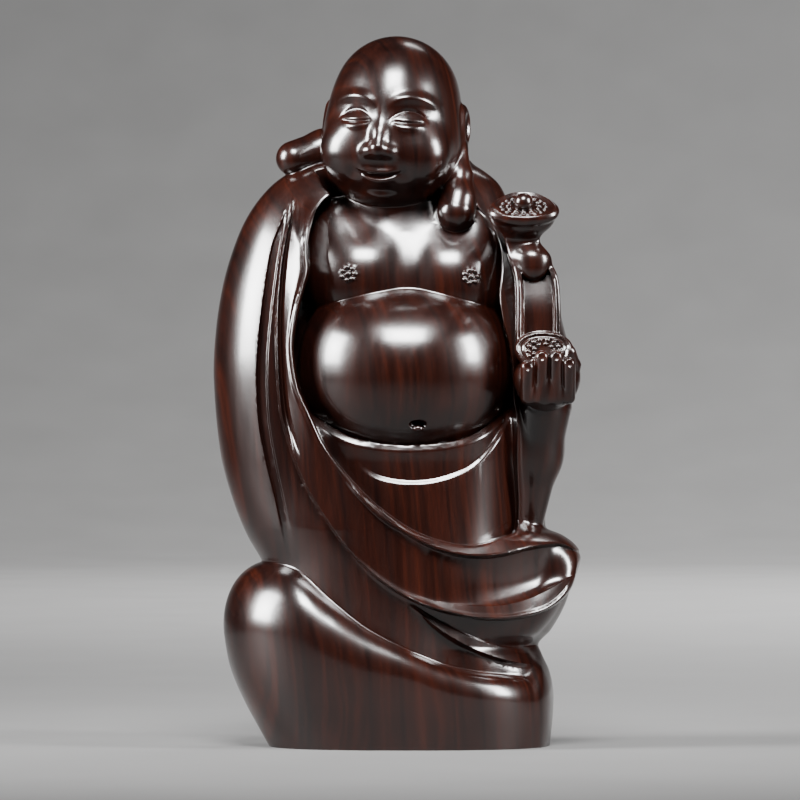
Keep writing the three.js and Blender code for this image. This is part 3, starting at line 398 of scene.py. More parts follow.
def carve_collar(h, x, z, swag, in_swag, pocket):
    """The rolled collar beside the pocket, with a split and a rim, and a dip between it and the swag."""
    r = RELIEF
    fold = FOLD_EDGE.at(x, z)
    left, shoulder = ramp(x, *OVER_X["left"]), ramp(z, *OVER_Z["shoulder"])
    wedge = share(-swag, fold)
    dip = r["wedge"] * 4 * wedge * (1 - wedge) * (fold > 0) * in_swag
    h = h - dip * left * ramp(z, *OVER_Z["wedge"]) * shoulder
    roll = share(-fold, pocket)
    upper = left * ramp(z, *OVER_Z["roll"])
    h = h + r["roll"] * (fold < 0) * upper * shoulder * roll * (1 - roll ** r["roll_power"])
    split = r["split"] * bump(x - r["split_x"], r["split_width"])
    h = h - split * ramp(z, *OVER_Z["split_low"]) * ramp(z, *OVER_Z["split_top"])
    return h - r["rim"] * bump(pocket - r["rim_inset"], r["rim_width"]) * upper * ramp(z, *OVER_Z["rim"])


def carve_sleeve(h, x, z):
    """The mantle gives way to the sleeve below the hand, beside a groove."""
    r = RELIEF
    sleeve = ramp(x, *OVER_X["sleeve"]) * ramp(z, *OVER_Z["sleeve_low"]) * ramp(z, *OVER_Z["sleeve_top"])
    h = h - r["sleeve"] * sleeve
    return h - r["groove"] * sleeve * bump(x - r["groove_x"], r["groove_width"])


def mantle_relief(x, z):
    """Height of the cloth carved on the mantle's front."""
    r = RELIEF
    swag, pocket = SWAG.at(x, z), POCKET.at(x, z)
    ledge = ramp(x, *OVER_X["ledge"]) * ramp(z, *OVER_Z["ledge"])
    in_swag = ramp(swag, lerp(r["edge"], r["ledge"], ledge), -r["edge"] / 2)
    outside = 1 - in_swag
    lower = lerp(r["swag_top_share"], 1, ramp(z, *OVER_Z["swag"]))
    h = r["swag"] * lower * ramp(z, *OVER_Z["shoulder"]) * in_swag
    h = carve_hollow(h, x, z, in_swag, pocket)
    h = carve_below(h, x, z, outside)
    h = carve_strips(h, x, z, swag, outside)
    h = carve_collar(h, x, z, swag, in_swag, pocket)
    return carve_sleeve(h, x, z)


# Plain folds of the back, sweeping down from one shoulder, as (height, x) lines
BACK_FOLDS = [
    profile([(24, 12), (40, 3), (56, -6), (70, -12), (80, -14)]),
    profile([(22, 19), (38, 11.5), (54, 1.5), (68, -5), (80, -8)]),
    profile([(34, 20), (48, 12.5), (60, 6), (72, 0.5), (80, -2)]),
]
BACK_FOLD = {"height": 0.75, "near": 1, "far": 3.2}


def back_relief(x, z):
    """Height of the plain folds carved on the mantle's back."""
    h = 0
    for line in BACK_FOLDS:
        beyond = x - line(z)
        width = np.where(beyond > 0, BACK_FOLD["near"], BACK_FOLD["far"])
        h = h + BACK_FOLD["height"] * bump(beyond, width)
    return h * ramp(z, *OVER_Z["back_low"]) * ramp(z, *OVER_Z["back_top"])


# How near its surface the mantle is carved, the depths over which the carving of each side grows, and the
# blend at the edge of the pocket
RELIEF_REACH = 6
FRONT_OVER = (1.5, -4)
BACK_OVER = (1, 5)
POCKET_BLEND = 0.45

# Body forms inside the open robe
NECK = [(0.5, 0, 74, 7.5), (-0.5, -1.5, 84, 7)]
BELLY = ((1, -6.6, 53.2), (15, 12, 12.6))
BELLY_SQUARENESS = {"low": 2.15, "high": 2.4, "reach": 4}
BELLY_LEAN = 0.012  # back from the upright above its middle, times the square of the height there
WAIST_ROBE = {
    "left": lambda z: -16,
    "right": lambda z: 16.9,
    "front": profile([(20, 14.6), (30, 13.6), (40, 13.7), (44, 14.1), (50, 12)]),
    "back": lambda z: 4,
    "squareness": 2.6,
}
WAIST_LIP = {"width": 0.9, "tilt": 33}
WAIST_DROP = {"depth": 0.42, "power": 0.5, "over_edge": (-0.8, 0.1), "over_x": (-6.3, -2.5)}
CHEST_FORMS = [
    ((-4.8, -4.4, 65.7), (8.6, 7.4, 7.9), 2.2),
    ((7.4, -4.4, 65.3), (7.9, 7.4, 7.9), 2.2),
    ((1.4, 3.3, 61), (14.5, 13.4, 18)),
    ((1.4, -1.2, 71), (12.5, 6.8, 8.3)),
    ((-8.6, -3.2, 70.3), (4.8, 5, 6.8)),
    ((11.3, -3.2, 70), (4.2, 5, 6.8)),
]
TORSO_BLEND = {
    "chest": 2.8, "neck": 2, "belly": 0.35, "navel": 0.2, "knob": 0.1, "lip": 0.1, "bevel": 0.15,
    "robe": 0.12,
}
POCKET_DEPTH = -4
NAVEL = ((2.8, -15.9, 45.3), (1.2, 0.9, 0.7))
NAVEL_KNOB = ((2.8, -15.4, 44.8), (0.7, 0.5, 0.42))
NIPPLES = [(-6.9, 66.4), (10.2, 66)]
NIPPLE = {"bead": 0.36, "middle": 1.1, "ring": 0.9, "count": 7}

# Roll of cloth round the back of the neck, ending in a knob over one shoulder
ROLL = [
    (-14.7, -1.5, 82.8, 2.5), (-10.5, 0.5, 84.2, 2.7), (-5, 5, 84.2, 2.8), (2, 5.4, 83.2, 2.8),
    (8, 3, 80.6, 2.8), (11.6, -0.5, 77.6, 2.6),
]

# Arm, sleeve and hand at the viewer's right
SLEEVE = [(18.4, -3, 32, 2.2), (19.5, -5, 41, 3.4), (20.3, -7.2, 47.8, 4.1)]
FOREARM = [(21, -5, 49.5, 3.3), (20.8, -11, 50.8, 3.2)]
PALM = ((20.7, -12.4, 51.5), (4.7, 3.2, 4.1))
FINGERS = [(18, 53.3, 0.97), (20, 54.7, 1.02), (22, 54.7, 1), (23.8, 53.8, 0.9)]
FINGER_ROOT = (-14.2, 49.1)
FINGER_TIP_DEPTH = -16
NAIL = {"radii": (0.72, 0.45, 0.8), "rise": 0.1, "clear": 0.16}
THUMB = [(24.3, -11.5, 50.5, 1), (24.5, -13, 53.6, 0.95), (24, -14.3, 55.4, 0.8)]
HAND_BLEND = {
    "palm": 1.5, "knots": 2, "sleeve": 0.3, "tip": 0.25, "root": 0.9, "finger_over": (51, 48.5),
    "nail": 0.06, "thumb": 0.4,
}

# The ruyi: a shaft, a boss, a plate by the hand and a cloud head
SHAFT = [
    (56, 19.6, -14.4, 3.1), (62, 19.6, -14.3, 3.05), (66, 19.3, -13.8, 2.95), (68.5, 18.3, -13.2, 2.7),
    (70.5, 17.4, -12.8, 2.35), (73, 17.1, -12.6, 2.4),
]
SHAFT_CENTRE = profile([(z, x) for z, x, y, half in SHAFT])
SHAFT_FRONT = profile([(z, y) for z, x, y, half in SHAFT])
SHAFT_HALF = profile([(z, half) for z, x, y, half in SHAFT])
SHAFT_BACK = profile([(55, -5), (62, -6.5), (68, -8), (73, -9.2)])
SHAFT_ENDS = (55, 73)
SHAFT_PANEL = {
    "depth": (0.4, 1.1), "border": 0.85, "edge": 0.25, "low": 58, "low_edge": 1, "bend": 60.5,
    "high": 66.8, "high_edge": 0.5,
}
SHAFT_GROOVE = {"depth": 0.2, "inset": 0.42, "width": 0.11, "over": (66, 65)}
SHAFT_CROWN = {"low": 0.035, "high": 0.06, "over": (65.5, 68)}
BOSS = ((18.9, -13.1, 67.6), (2.1, 1.4, 2.1))
RUYI_BLEND = {
    "sides": 0.4, "ends": 0.3, "boss_low": 0.1, "boss_high": 2.4, "boss_over": (66.4, 69.2), "plate": 0.3,
    "head": 1.2,
}
CLOUD_HEAD = {
    "centre": (17.5, -13.1, 75.3), "tilt": 38, "half_width": 4.9, "half_length": 3.3, "lobes": 3,
    "lobe_share": 0.06, "thickness": 0.5, "rounding": 0.4, "rims": [(0.4, 0.25, 0.25)],
    "ball": 1.34, "ball_rise": 1.25, "rings": [(2.15, 12, 0.34), (3.05, 18, 0.22)],
    "funnel": ((17.5, -12.4, 75), (4.7, 3.2, 3.7)),
}
HAND_PLATE = {
    "centre": (20.3, -13.9, 55.4), "tilt": 80, "half_width": 4, "half_length": 2.9, "lobes": 3,
    "lobe_share": -0.05, "thickness": 0.8, "rounding": 0.35,
    "rims": [(0.28, 0.3, 0.2), (0.95, 0.22, 0.14)],
    "rings": [(2.25, 14, 0.36), (1.45, 9, 0.3)],
}
CLOUD_BLEND = {"funnel_top": 0.3, "funnel": 0.5, "ball": 0.2, "bead": 0.08}

# Head, in its own frame: origin at its middle, X to the right, Y back, Z up.
# The face is calm and laid out in thirds, with its eyes at half the height.
HEAD = {"centre": (-0.5, -3.6, 87.6), "yaw": -11, "roll": 3, "pitch": 2}
SKULL = ((0, 0.7, 3.3), (8.9, 9.9, 9.1))
JAW = ((0, -0.9, -3.4), (9.7, 9.4, 9))
CHEEK = ((4.9, -6, -4.6), (3.9, 3.2, 3.6))
NOSE = [(0, -8.6, 1.6, 0.6), (0, -9.9, -2, 0.9), (0, -10.6, -4.2, 1.35)]
NOSE_WING = ((1.55, -9.8, -4.6), (0.95, 1.2, 0.9))
EAR = ((9.5, 1.4, -0.4), (1.1, 2.3, 3.6))
EAR_HOLLOW = ((10.5, 0.9, 0.2), (0.7, 1.2, 2))
EAR_LOBES = {
    "right": [
        (9.5, 0.8, -3.4, 1.1), (10, -0.5, -7, 1.6), (10.1, -1.7, -10.2, 2.4), (10, -2.4, -12.1, 2.8),
    ],
    "left": [(9.5, 1.4, -3.4, 1), (9.2, 2.6, -7, 1.3), (8.4, 3.6, -10.5, 1.7)],
}
HEAD_BLEND = {
    "jaw": 4, "cheek": 2.5, "nose": 1, "wing": 0.8, "ear_hollow": 0.4, "lobe_knots": 1, "lobe": 0.8,
    "ear": 0.7,
}
FACE_OVER = (-4, -7)

# Lines of the face as arches over x: middle x and z, half width, fall at the ends, height, width
FACE_LINES = {
    "brow": (4.3, 3.2, 3.6, 1.2, 0.45, 0.75),
    "lid_crease": (3.8, 1.3, 2.8, 1.6, -0.22, 0.28),
    "lid_edge": (3.8, -0.45, 2.3, -0.1, -0.34, 0.26),
    "lower_lid": (3.8, -1.3, 2.1, -0.6, 0.12, 0.35),
    "mouth_line": (0, -8, 3.3, -0.75, -0.5, 0.24),
    "upper_lip": (0, -7.45, 3, -0.4, 0.42, 0.5),
    "lower_lip": (0, -8.75, 2.5, -0.8, 0.55, 0.6),
}

# Rounds of the face: middle x and z, half width, half height, and how far they stand out
FACE_ROUNDS = {
    "socket": (3.6, 0.1, 2.9, 1.7, -0.9),
    "eyeball": (3.8, -0.35, 2.2, 1.35, 1.05),
    "chin": (0, -10.9, 2.4, 1.3, 0.5),
    "chin_hollow": (0, -9.8, 2.2, 0.6, -0.3),
    "mouth_corner": (3.6, -7.4, 0.95, 0.85, -0.3),
}

HEAD_FRAME = (
    Matrix.Translation(HEAD["centre"])
    @ Matrix.Rotation(math.radians(HEAD["yaw"]), 4, "Z")
    @ Matrix.Rotation(math.radians(HEAD["roll"]), 4, "Y")
    @ Matrix.Rotation(-math.radians(HEAD["pitch"]), 4, "X")
)
TO_HEAD = np.array(HEAD_FRAME.inverted())

# Heights between which each form can reach the surface. The torso and its beads are added only in front of
# a depth, and the hand and ruyi only to the right of a place. Then the width of each form's blend.
REACH = {
    "torso": (26, 102), "nipples": (62, 70), "sack": (-2, 30), "roll": (70, 102), "hand": (28, 60),
    "ruyi": (50, 84), "head": (68, 102),
}
TORSO_BACK = {"end": 2, "reach": 2.5}
NIPPLE_BACK = -5
HAND_LEFT = 10
BLEND = {"torso": 0.15, "nipples": 0.08, "ruyi": 0.35, "head": 0.3}
SACK_BLEND = {"cloth": 0.3, "side": 3, "over": (17.5, 20.5)}
ROLL_BLEND = {"knots": 1, "knob": 0.4, "shoulder": 3.5, "over": (-8, 2)}
ARM_BLEND = {"low": 2.5, "high": 0.5, "over": (42, 49)}


def face_relief(x, z):
    h = 0
    for middle, up, half, fall, height, width in FACE_LINES.values():
        t = (x - middle) / half
        h = h + height * np.maximum(0, 1 - t * t) * bump(z - up + fall * t * t, width)
    for middle, up, wide, tall, height in FACE_ROUNDS.values():
        h = h + height * bump(np.hypot((x - middle) / wide, (z - up) / tall), 1)
    return h


def head_field(p):
    h = [sum(TO_HEAD[i][j] * p[j] for j in range(3)) + TO_HEAD[i][3] for i in range(3)]
    on_left = h[0] < 0
    h[0] = np.abs(h[0])
    blend = HEAD_BLEND
    d = join(ellipsoid(h, *SKULL), ellipsoid(h, *JAW), blend["jaw"])
    d = join(d, ellipsoid(h, *CHEEK), blend["cheek"])
    d = d - face_relief(h[0], h[2]) * ramp(h[1], *FACE_OVER)
    nose = join(limb(h, NOSE, blend["nose"]), ellipsoid(h, *NOSE_WING), blend["wing"])
    d = join(d, nose, blend["nose"])
    shell = cut(ellipsoid(h, *EAR), ellipsoid(h, *EAR_HOLLOW), blend["ear_hollow"])
    lobe = np.where(on_left, *(limb(h, EAR_LOBES[side], blend["lobe_knots"]) for side in ("left", "right")))
    return join(d, join(shell, lobe, blend["lobe"]), blend["ear"])


def torso_field(p):
    x, y, z = p
    blend = TORSO_BLEND
    chest = ellipsoid(p, *CHEST_FORMS[0])
    for form in CHEST_FORMS[1:]:
        chest = join(chest, ellipsoid(p, *form), blend["chest"])
    above, above_fold = -WAIST.at(x, z), -WAIST_FOLD.at(x, z)
    drop = WAIST_DROP["depth"] * ramp(above_fold, *WAIST_DROP["over_edge"])
    drop = drop * share(-above, np.abs(above_fold)) ** WAIST_DROP["power"]
    robe = loft(p, WAIST_ROBE) + drop * ramp(x, *WAIST_DROP["over_x"]) * (y < 0)
    tilt = math.radians(WAIST_LIP["tilt"])
    bevel = robe * math.cos(tilt) + (above + WAIST_LIP["width"]) * math.sin(tilt)
    robe = common(common(robe, above, blend["lip"]), bevel, blend["bevel"])
    middle, reach = BELLY[0][2], BELLY_SQUARENESS["reach"]
    upper = ramp(z, middle - reach, middle + reach)
    squareness = lerp(BELLY_SQUARENESS["low"], BELLY_SQUARENESS["high"], upper)
    leaning = (x, y - BELLY_LEAN * np.maximum(z - middle, 0) ** 2, z)
    body = join(chest, limb(p, NECK), blend["neck"])
    d = join(ellipsoid(leaning, *BELLY, squareness), body, blend["belly"])
    d = join(cut(d, ellipsoid(p, *NAVEL), blend["navel"]), ellipsoid(p, *NAVEL_KNOB), blend["knob"])
    return join(d, robe, blend["robe"])


def mantle_field(p):
    x, y, z = p
    d = loft(p, MANTLE)
    near = np.abs(d) < RELIEF_REACH
    front = near & (y < FRONT_OVER[0])
    d[front] -= mantle_relief(x[front], z[front]) * ramp(y[front], *FRONT_OVER)
    back = near & (y > BACK_OVER[0])
    d[back] -= back_relief(x[back], z[back]) * ramp(y[back], *BACK_OVER)
    d = common(d, z - MANTLE_TOP, MANTLE_TOP_BLEND)
    return cut(d, np.maximum(POCKET.at(x, z), y - POCKET_DEPTH), POCKET_BLEND)


def sack_field(p):
    x, y, z = p
    top = (z - SACK_TOP(x)) * SACK_TOP_SLOPE
    rounding = lerp(SACK_ROUNDING["left"], SACK_ROUNDING["right"], ramp(x, *SACK_ROUNDING["over"]))
    return common(loft(p, SACK), top, rounding)


def cloud_field(p, cloud):
    """A thick lobed plate that tilts towards the viewer, with a rim, a ring of beads and a ball."""
    c, s = math.cos(math.radians(cloud["tilt"])), math.sin(math.radians(cloud["tilt"]))
    x, dy, dz = (p[i] - cloud["centre"][i] for i in range(3))
    y, z = c * dy + s * dz, -s * dy + c * dz
    across, along = x / cloud["half_width"], y / cloud["half_length"]
    lobes = 1 + cloud["lobe_share"] * np.cos(cloud["lobes"] * np.arctan2(across, along))
    flat = (np.hypot(across, along) - lobes) * cloud["half_length"]
    rims = sum(height * bump(flat + inset, width) for inset, height, width in cloud["rims"])
    d = common(flat, np.abs(z) - (cloud["thickness"] + rims), cloud["rounding"])
    blend = CLOUD_BLEND
    if "funnel" in cloud:
        d = join(d, common(ellipsoid(p, *cloud["funnel"]), z, blend["funnel_top"]), blend["funnel"])
    if "ball" in cloud:
        ball = np.sqrt(x**2 + y**2 + (z - cloud["ball_rise"]) ** 2) - cloud["ball"]
        d = join(d, ball, blend["ball"])
    shape = cloud["half_length"] / cloud["half_width"]
    turn = np.arctan2(along, across)
    for ring, count, radius in cloud["rings"]:
        angle = np.round(turn * count / math.tau) * math.tau / count
        bead = np.sqrt(
            (x - ring * np.cos(angle)) ** 2 + (y - ring * shape * np.sin(angle)) ** 2
            + (z - cloud["thickness"]) ** 2
        ) - radius
        d = join(d, bead, blend["bead"])
    return d


def ruyi_field(p):
    x, y, z = p
    half = SHAFT_HALF(z)
    side = np.abs(x - SHAFT_CENTRE(z))
    panel, groove, crown, blend = SHAFT_PANEL, SHAFT_GROOVE, SHAFT_CROWN, RUYI_BLEND
    inset = ramp(side, half - panel["border"], half - panel["border"] - panel["edge"])
    inset = inset * ramp(z, panel["low"] - panel["low_edge"], panel["low"])
    inset = inset * ramp(z, panel["high"] + panel["high_edge"], panel["high"])
    inset = inset * lerp(*panel["depth"], ramp(z, panel["bend"], panel["high"]))
    line = groove["depth"] * bump(half - side - groove["inset"], groove["width"]) * ramp(z, *groove["over"])
    bulge = lerp(crown["low"], crown["high"], ramp(z, *crown["over"])) * side * side
    front = SHAFT_FRONT(z) + inset + line + bulge
    d = common(side - half, np.maximum(front - y, y - SHAFT_BACK(z)), blend["sides"])
    d = common(d, np.maximum(SHAFT_ENDS[0] - z, z - SHAFT_ENDS[1]), blend["ends"])
    boss_blend = lerp(blend["boss_low"], blend["boss_high"], ramp(z, *blend["boss_over"]))
    d = join(d, ellipsoid(p, *BOSS), boss_blend)
    d = join(d, cloud_field(p, HAND_PLATE), blend["plate"])
    return join(d, cloud_field(p, CLOUD_HEAD), blend["head"])


def hand_field(p):
    blend = HAND_BLEND
    d = join(limb(p, FOREARM), ellipsoid(p, *PALM), blend["palm"])
    d = join(d, limb(p, SLEEVE, blend["knots"]), blend["sleeve"])
    finger_blend = lerp(blend["tip"], blend["root"], ramp(p[2], *blend["finger_over"]))
    for x, top, radius in FINGERS:
        finger = capsule(p, (x, *FINGER_ROOT, radius), (x, FINGER_TIP_DEPTH, top, radius))
        d = join(d, finger, finger_blend)
        nail = (x, FINGER_TIP_DEPTH - radius - NAIL["clear"], top + NAIL["rise"])
        d = cut(d, ellipsoid(p, nail, NAIL["radii"]), blend["nail"])
    return join(d, limb(p, THUMB), blend["thumb"])


SIGHT = {"from": -20, "to": -2, "steps": 3601}


def torso_front(x, z):
    """Depth at which a line of sight from the front meets the torso."""
    y = np.linspace(SIGHT["from"], SIGHT["to"], SIGHT["steps"])
    inside = torso_field((np.full_like(y, x), y, np.full_like(y, z))) < 0
    return y[np.argmax(inside)]


NIPPLE_RINGS = [(0, 1, NIPPLE["bead"] * NIPPLE["middle"]), (NIPPLE["ring"], NIPPLE["count"], NIPPLE["bead"])]
NIPPLE_BEADS = [
    (x + ring * math.cos(i * math.tau / count), z + ring * math.sin(i * math.tau / count), radius)
    for x, z in NIPPLES
    for ring, count, radius in NIPPLE_RINGS
    for i in range(count)
]
NIPPLE_BEADS = [(x, torso_front(x, z), z, radius) for x, z, radius in NIPPLE_BEADS]


def nipple_field(p):
    """Rosette of small beads on each side of the chest."""
    return np.minimum.reduce([
        np.sqrt((p[0] - x) ** 2 + (p[1] - y) ** 2 + (p[2] - z) ** 2) - radius
        for x, y, z, radius in NIPPLE_BEADS
    ])


def add(d, where, p, form, k):
    """Joins a form to the field, only at the points that it can reach."""
    if where.any():
        width = k[where] if np.ndim(k) else k
        d[where] = join(d[where], form(tuple(c[where] for c in p)), width)


def within(z, form):
    low, high = REACH[form]
    return (z > low) & (z < high)


def front_torso_field(p):
    return np.maximum(torso_field(p), p[1] - TORSO_BACK["end"])


def figure_part(p):
    x, y, z = p
    d = mantle_field(p)
    add(d, within(z, "torso") & (y < TORSO_BACK["reach"]), p, front_torso_field, BLEND["torso"])
    add(d, within(z, "nipples") & (y < NIPPLE_BACK), p, nipple_field, BLEND["nipples"])
    sack_blend = lerp(SACK_BLEND["cloth"], SACK_BLEND["side"], ramp(x, *SACK_BLEND["over"]))
    add(d, within(z, "sack"), p, sack_field, sack_blend)
    roll_blend = lerp(ROLL_BLEND["knob"], ROLL_BLEND["shoulder"], ramp(x, *ROLL_BLEND["over"]))
    add(d, within(z, "roll"), p, lambda q: limb(q, ROLL, ROLL_BLEND["knots"]), roll_blend)
    arm_blend = lerp(ARM_BLEND["low"], ARM_BLEND["high"], ramp(z, *ARM_BLEND["over"]))
    add(d, within(z, "hand") & (x > HAND_LEFT), p, hand_field, arm_blend)
    add(d, within(z, "ruyi") & (x > HAND_LEFT), p, ruyi_field, BLEND["ruyi"])
    add(d, within(z, "head"), p, head_field, BLEND["head"])
    return np.maximum(d, -z)


def figure(points, chunk=1 << 15, threads=4):
    """The whole figure's field at many points, given as rows of x, y and z."""
    pieces = [points[i:i + chunk] for i in range(0, len(points), chunk)]
    if not pieces:
        return np.empty(0)
    with ThreadPoolExecutor(threads) as pool:
        return np.concatenate(list(pool.map(lambda piece: figure_part(tuple(piece.T)), pieces)))


def slope(points, step=0.03):
    """The field's value and gradient."""
    value = figure(points)
    gradient = np.stack([(figure(points + step * axis) - value) / step for axis in np.eye(3)], 1)
    return value, gradient


# Surface

# Cells along each side of a block, the grid's fineness, and its (start, spacing) ranges along each axis
BLOCK = 4
FINE = 1
GRID = {
    "x": [(-27.4, 0.23), (-20.4, 0.13), (-11.4, 0.19), (13, 0.17), (26.6, None)],
    "y": [(-19.6, 0.17), (-8, 0.24), (14.2, None)],
    "z": [(-0.4, 0.25), (10, 0.16), (29, 0.22), (49, 0.19), (76, 0.16), (101, None)],
}


# Corners of a cell, and how many places further the next corner along each axis is
CORNERS = [(i, j, k) for i in (0, 1) for j in (0, 1) for k in (0, 1)]
NEXT_CORNER = (4, 2, 1)


def grid_lines(ranges):
    """Lines of a grid whose spacing differs from range to range, in whole blocks."""
    lines = []
    for (start, step), (end, _) in zip(ranges, ranges[1:]):
        count = BLOCK * math.ceil((end - start) * FINE / step / BLOCK)
        lines.append(np.linspace(start, end, count, endpoint=False))
    return np.append(np.concatenate(lines), ranges[-1][0])


def sample_blocks(lines):
    """Values at the corners of every block that the surface passes through."""
    shape = [len(line) // BLOCK for line in lines]
    coarse = np.stack(np.meshgrid(*[line[::BLOCK] for line in lines], indexing="ij"), -1)
    inside = (figure(coarse.reshape(-1, 3)) < 0).reshape(coarse.shape[:3])
    corners = sum(
        inside[i:shape[0] + i, j:shape[1] + j, k:shape[2] + k].astype(int) for i, j, k in CORNERS
    )
    pending = np.flatnonzero((corners > 0) & (corners < 8))
    known = pending
    keys, values = [], []
    offsets = np.arange(BLOCK + 1)
    while len(pending):
        blocks = np.stack(np.unravel_index(pending, shape), 1)
        index = [blocks[:, axis, None] * BLOCK + offsets for axis in range(3)]
        points = np.empty((len(pending),) + (BLOCK + 1,) * 3 + (3,))
        points[..., 0] = lines[0][index[0]][:, :, None, None]
        points[..., 1] = lines[1][index[1]][:, None, :, None]
        points[..., 2] = lines[2][index[2]][:, None, None, :]
        found = figure(points.reshape(-1, 3)).reshape(points.shape[:4])
        keys.append(blocks)
        values.append(found)
        negative = found < 0
        neighbours = []
        for axis in range(3):
            for end, move in ((0, -1), (BLOCK, 1)):
                face = np.take(negative, end, axis + 1)
                crossed = face.any((1, 2)) & ~face.all((1, 2))
                nearby = blocks[crossed].copy()
                nearby[:, axis] += move
                nearby = nearby[(nearby[:, axis] >= 0) & (nearby[:, axis] < shape[axis])]
                neighbours.append(np.ravel_multi_index(nearby.T, shape))
        pending = np.setdiff1d(np.concatenate(neighbours), known)
        known = np.union1d(known, pending)
    return np.concatenate(keys), np.concatenate(values)


def surface_nets(lines):
    """Quads of the surface: one vertex in each cell that it passes through."""
    blocks, values = sample_blocks(lines)
    corner_values = np.stack([
        values[:, i:BLOCK + i, j:BLOCK + j, k:BLOCK + k] for i, j, k in CORNERS
    ], -1)
    count = (corner_values < 0).sum(-1)
    active = np.nonzero((count > 0) & (count < 8))
    v = corner_values[active]
    cell = blocks[active[0]] * BLOCK + np.stack(active[1:], 1)
    shape = [len(line) for line in lines]
    key = np.ravel_multi_index(cell.T, shape)
    order = np.argsort(key)
    key, cell, v = key[order], cell[order], v[order]

    total, crossings = np.zeros((len(cell), 3)), np.zeros(len(cell))
    for a, corner in enumerate(CORNERS):
        for axis in range(3):
            if corner[axis]:
                continue
            b = a + NEXT_CORNER[axis]
            crossed = (v[:, a] < 0) != (v[:, b] < 0)
            t = v[crossed, a] / (v[crossed, a] - v[crossed, b])
            place = np.tile(np.array(corner, float), (len(t), 1))
            place[:, axis] = t
            total[crossed] += place
            crossings[crossed] += 1
    place = total / crossings[:, None]
    points = np.stack([
        lerp(line[cell[:, i]], line[np.minimum(cell[:, i] + 1, len(line) - 1)], place[:, i])
        for i, line in enumerate(lines)
    ], 1)

    strides = (shape[1] * shape[2], shape[2], 1)
    quads = []
    for axis in range(3):
        crossed = (v[:, 0] < 0) != (v[:, NEXT_CORNER[axis]] < 0)
        base = key[crossed]
        one, two = strides[(axis + 1) % 3], strides[(axis + 2) % 3]
        ring = np.stack([base, base - one, base - one - two, base - two], 1)
        number = np.searchsorted(key, ring)
        flip = v[crossed, 0] >= 0
        number[flip] = number[flip][:, ::-1]
        quads.append(number)
    return points, np.concatenate(quads)


def settle(points, passes=3, stride=0.1, sole=0.03):
    """Moves the points along the slope of the field onto its surface, and the lowest ones onto the floor."""
    for _ in range(passes):
        value, gradient = slope(points)
        move = np.clip(value / ((gradient**2).sum(1) + 1e-6), -stride, stride)
        points = points - move[:, None] * gradient
    points[:, 2] = np.where(points[:, 2] < sole, 0, points[:, 2])
    return points


def triangulate(points, quads):
    """Splits each quad along its shorter diagonal."""
    first = np.linalg.norm(points[quads[:, 0]] - points[quads[:, 2]], axis=1)
    second = np.linalg.norm(points[quads[:, 1]] - points[quads[:, 3]], axis=1)
    turned = np.where((first <= second)[:, None], quads, np.roll(quads, -1, 1))
    return np.concatenate([turned[:, [0, 1, 2]], turned[:, [0, 2, 3]]])


def unit_rows(rows):
    return rows / np.maximum(np.linalg.norm(rows, axis=1, keepdims=True), 1e-9)


def sharpen(points, quads, smooth=0.985, reach=0.16, hold=0.04):
    """Moves the points beside a crease onto it, to where the tangent planes of their neighbours meet."""
    normals = unit_rows(slope(points)[1])
    sides = ((0, 1), (1, 2), (2, 3), (3, 0), (0, 2), (1, 3))
    pairs = [pair for a, b in sides for pair in ((a, b), (b, a))]
    here, other = (np.concatenate([quads[:, pair[end]] for pair in pairs]) for end in (0, 1))
    n = normals[other]
    ahead = (n * (points[other] - points[here])).sum(1)
    count = np.bincount(here, minlength=len(points))

    def mean(values):
        return np.bincount(here, values, len(points)) / count

    around = np.stack([mean(n[:, i]) for i in range(3)], 1)
    creased = np.linalg.norm(around, axis=1) < smooth
    planes = np.empty((len(points), 3, 3))
    for i in range(3):
        for j in range(i, 3):
            planes[:, i, j] = planes[:, j, i] = mean(n[:, i] * n[:, j])
    offsets = np.stack([mean(n[:, i] * ahead) for i in range(3)], 1)
    move = np.linalg.solve(planes[creased] + hold * np.eye(3), offsets[creased][..., None])[..., 0]
    length = np.linalg.norm(move, axis=1, keepdims=True)
    points = points.copy()
    points[creased] += move * np.minimum(1, reach / np.maximum(length, 1e-9))
    points[:, 2] = np.maximum(points[:, 2], 0)
    return points


def corner_normals(points, triangles, crease=0.965, reach=0.1, doubtful=0.8):
    """The field's slope at each triangle's corners. At a crease, a corner takes its own side's slope."""
    normals = unit_rows(slope(points)[1])
    corners = points[triangles]
    flat = unit_rows(np.cross(corners[:, 1] - corners[:, 0], corners[:, 2] - corners[:, 0]))
    result = normals[triangles]
    across = (result * flat[:, None]).sum(2) < crease
    inward = corners.mean(1, keepdims=True) - corners
    length = np.linalg.norm(inward, axis=2, keepdims=True)
    inner = (corners + inward * np.minimum(0.5, reach / np.maximum(length, 1e-6)))[across]
    own = unit_rows(slope(inner)[1])
    flat_side = np.repeat(flat[:, None], 3, 1)[across]
    still_across = (own * flat_side).sum(1) < doubtful
    own[still_across] = flat_side[still_across]
    result[across] = own
    return result


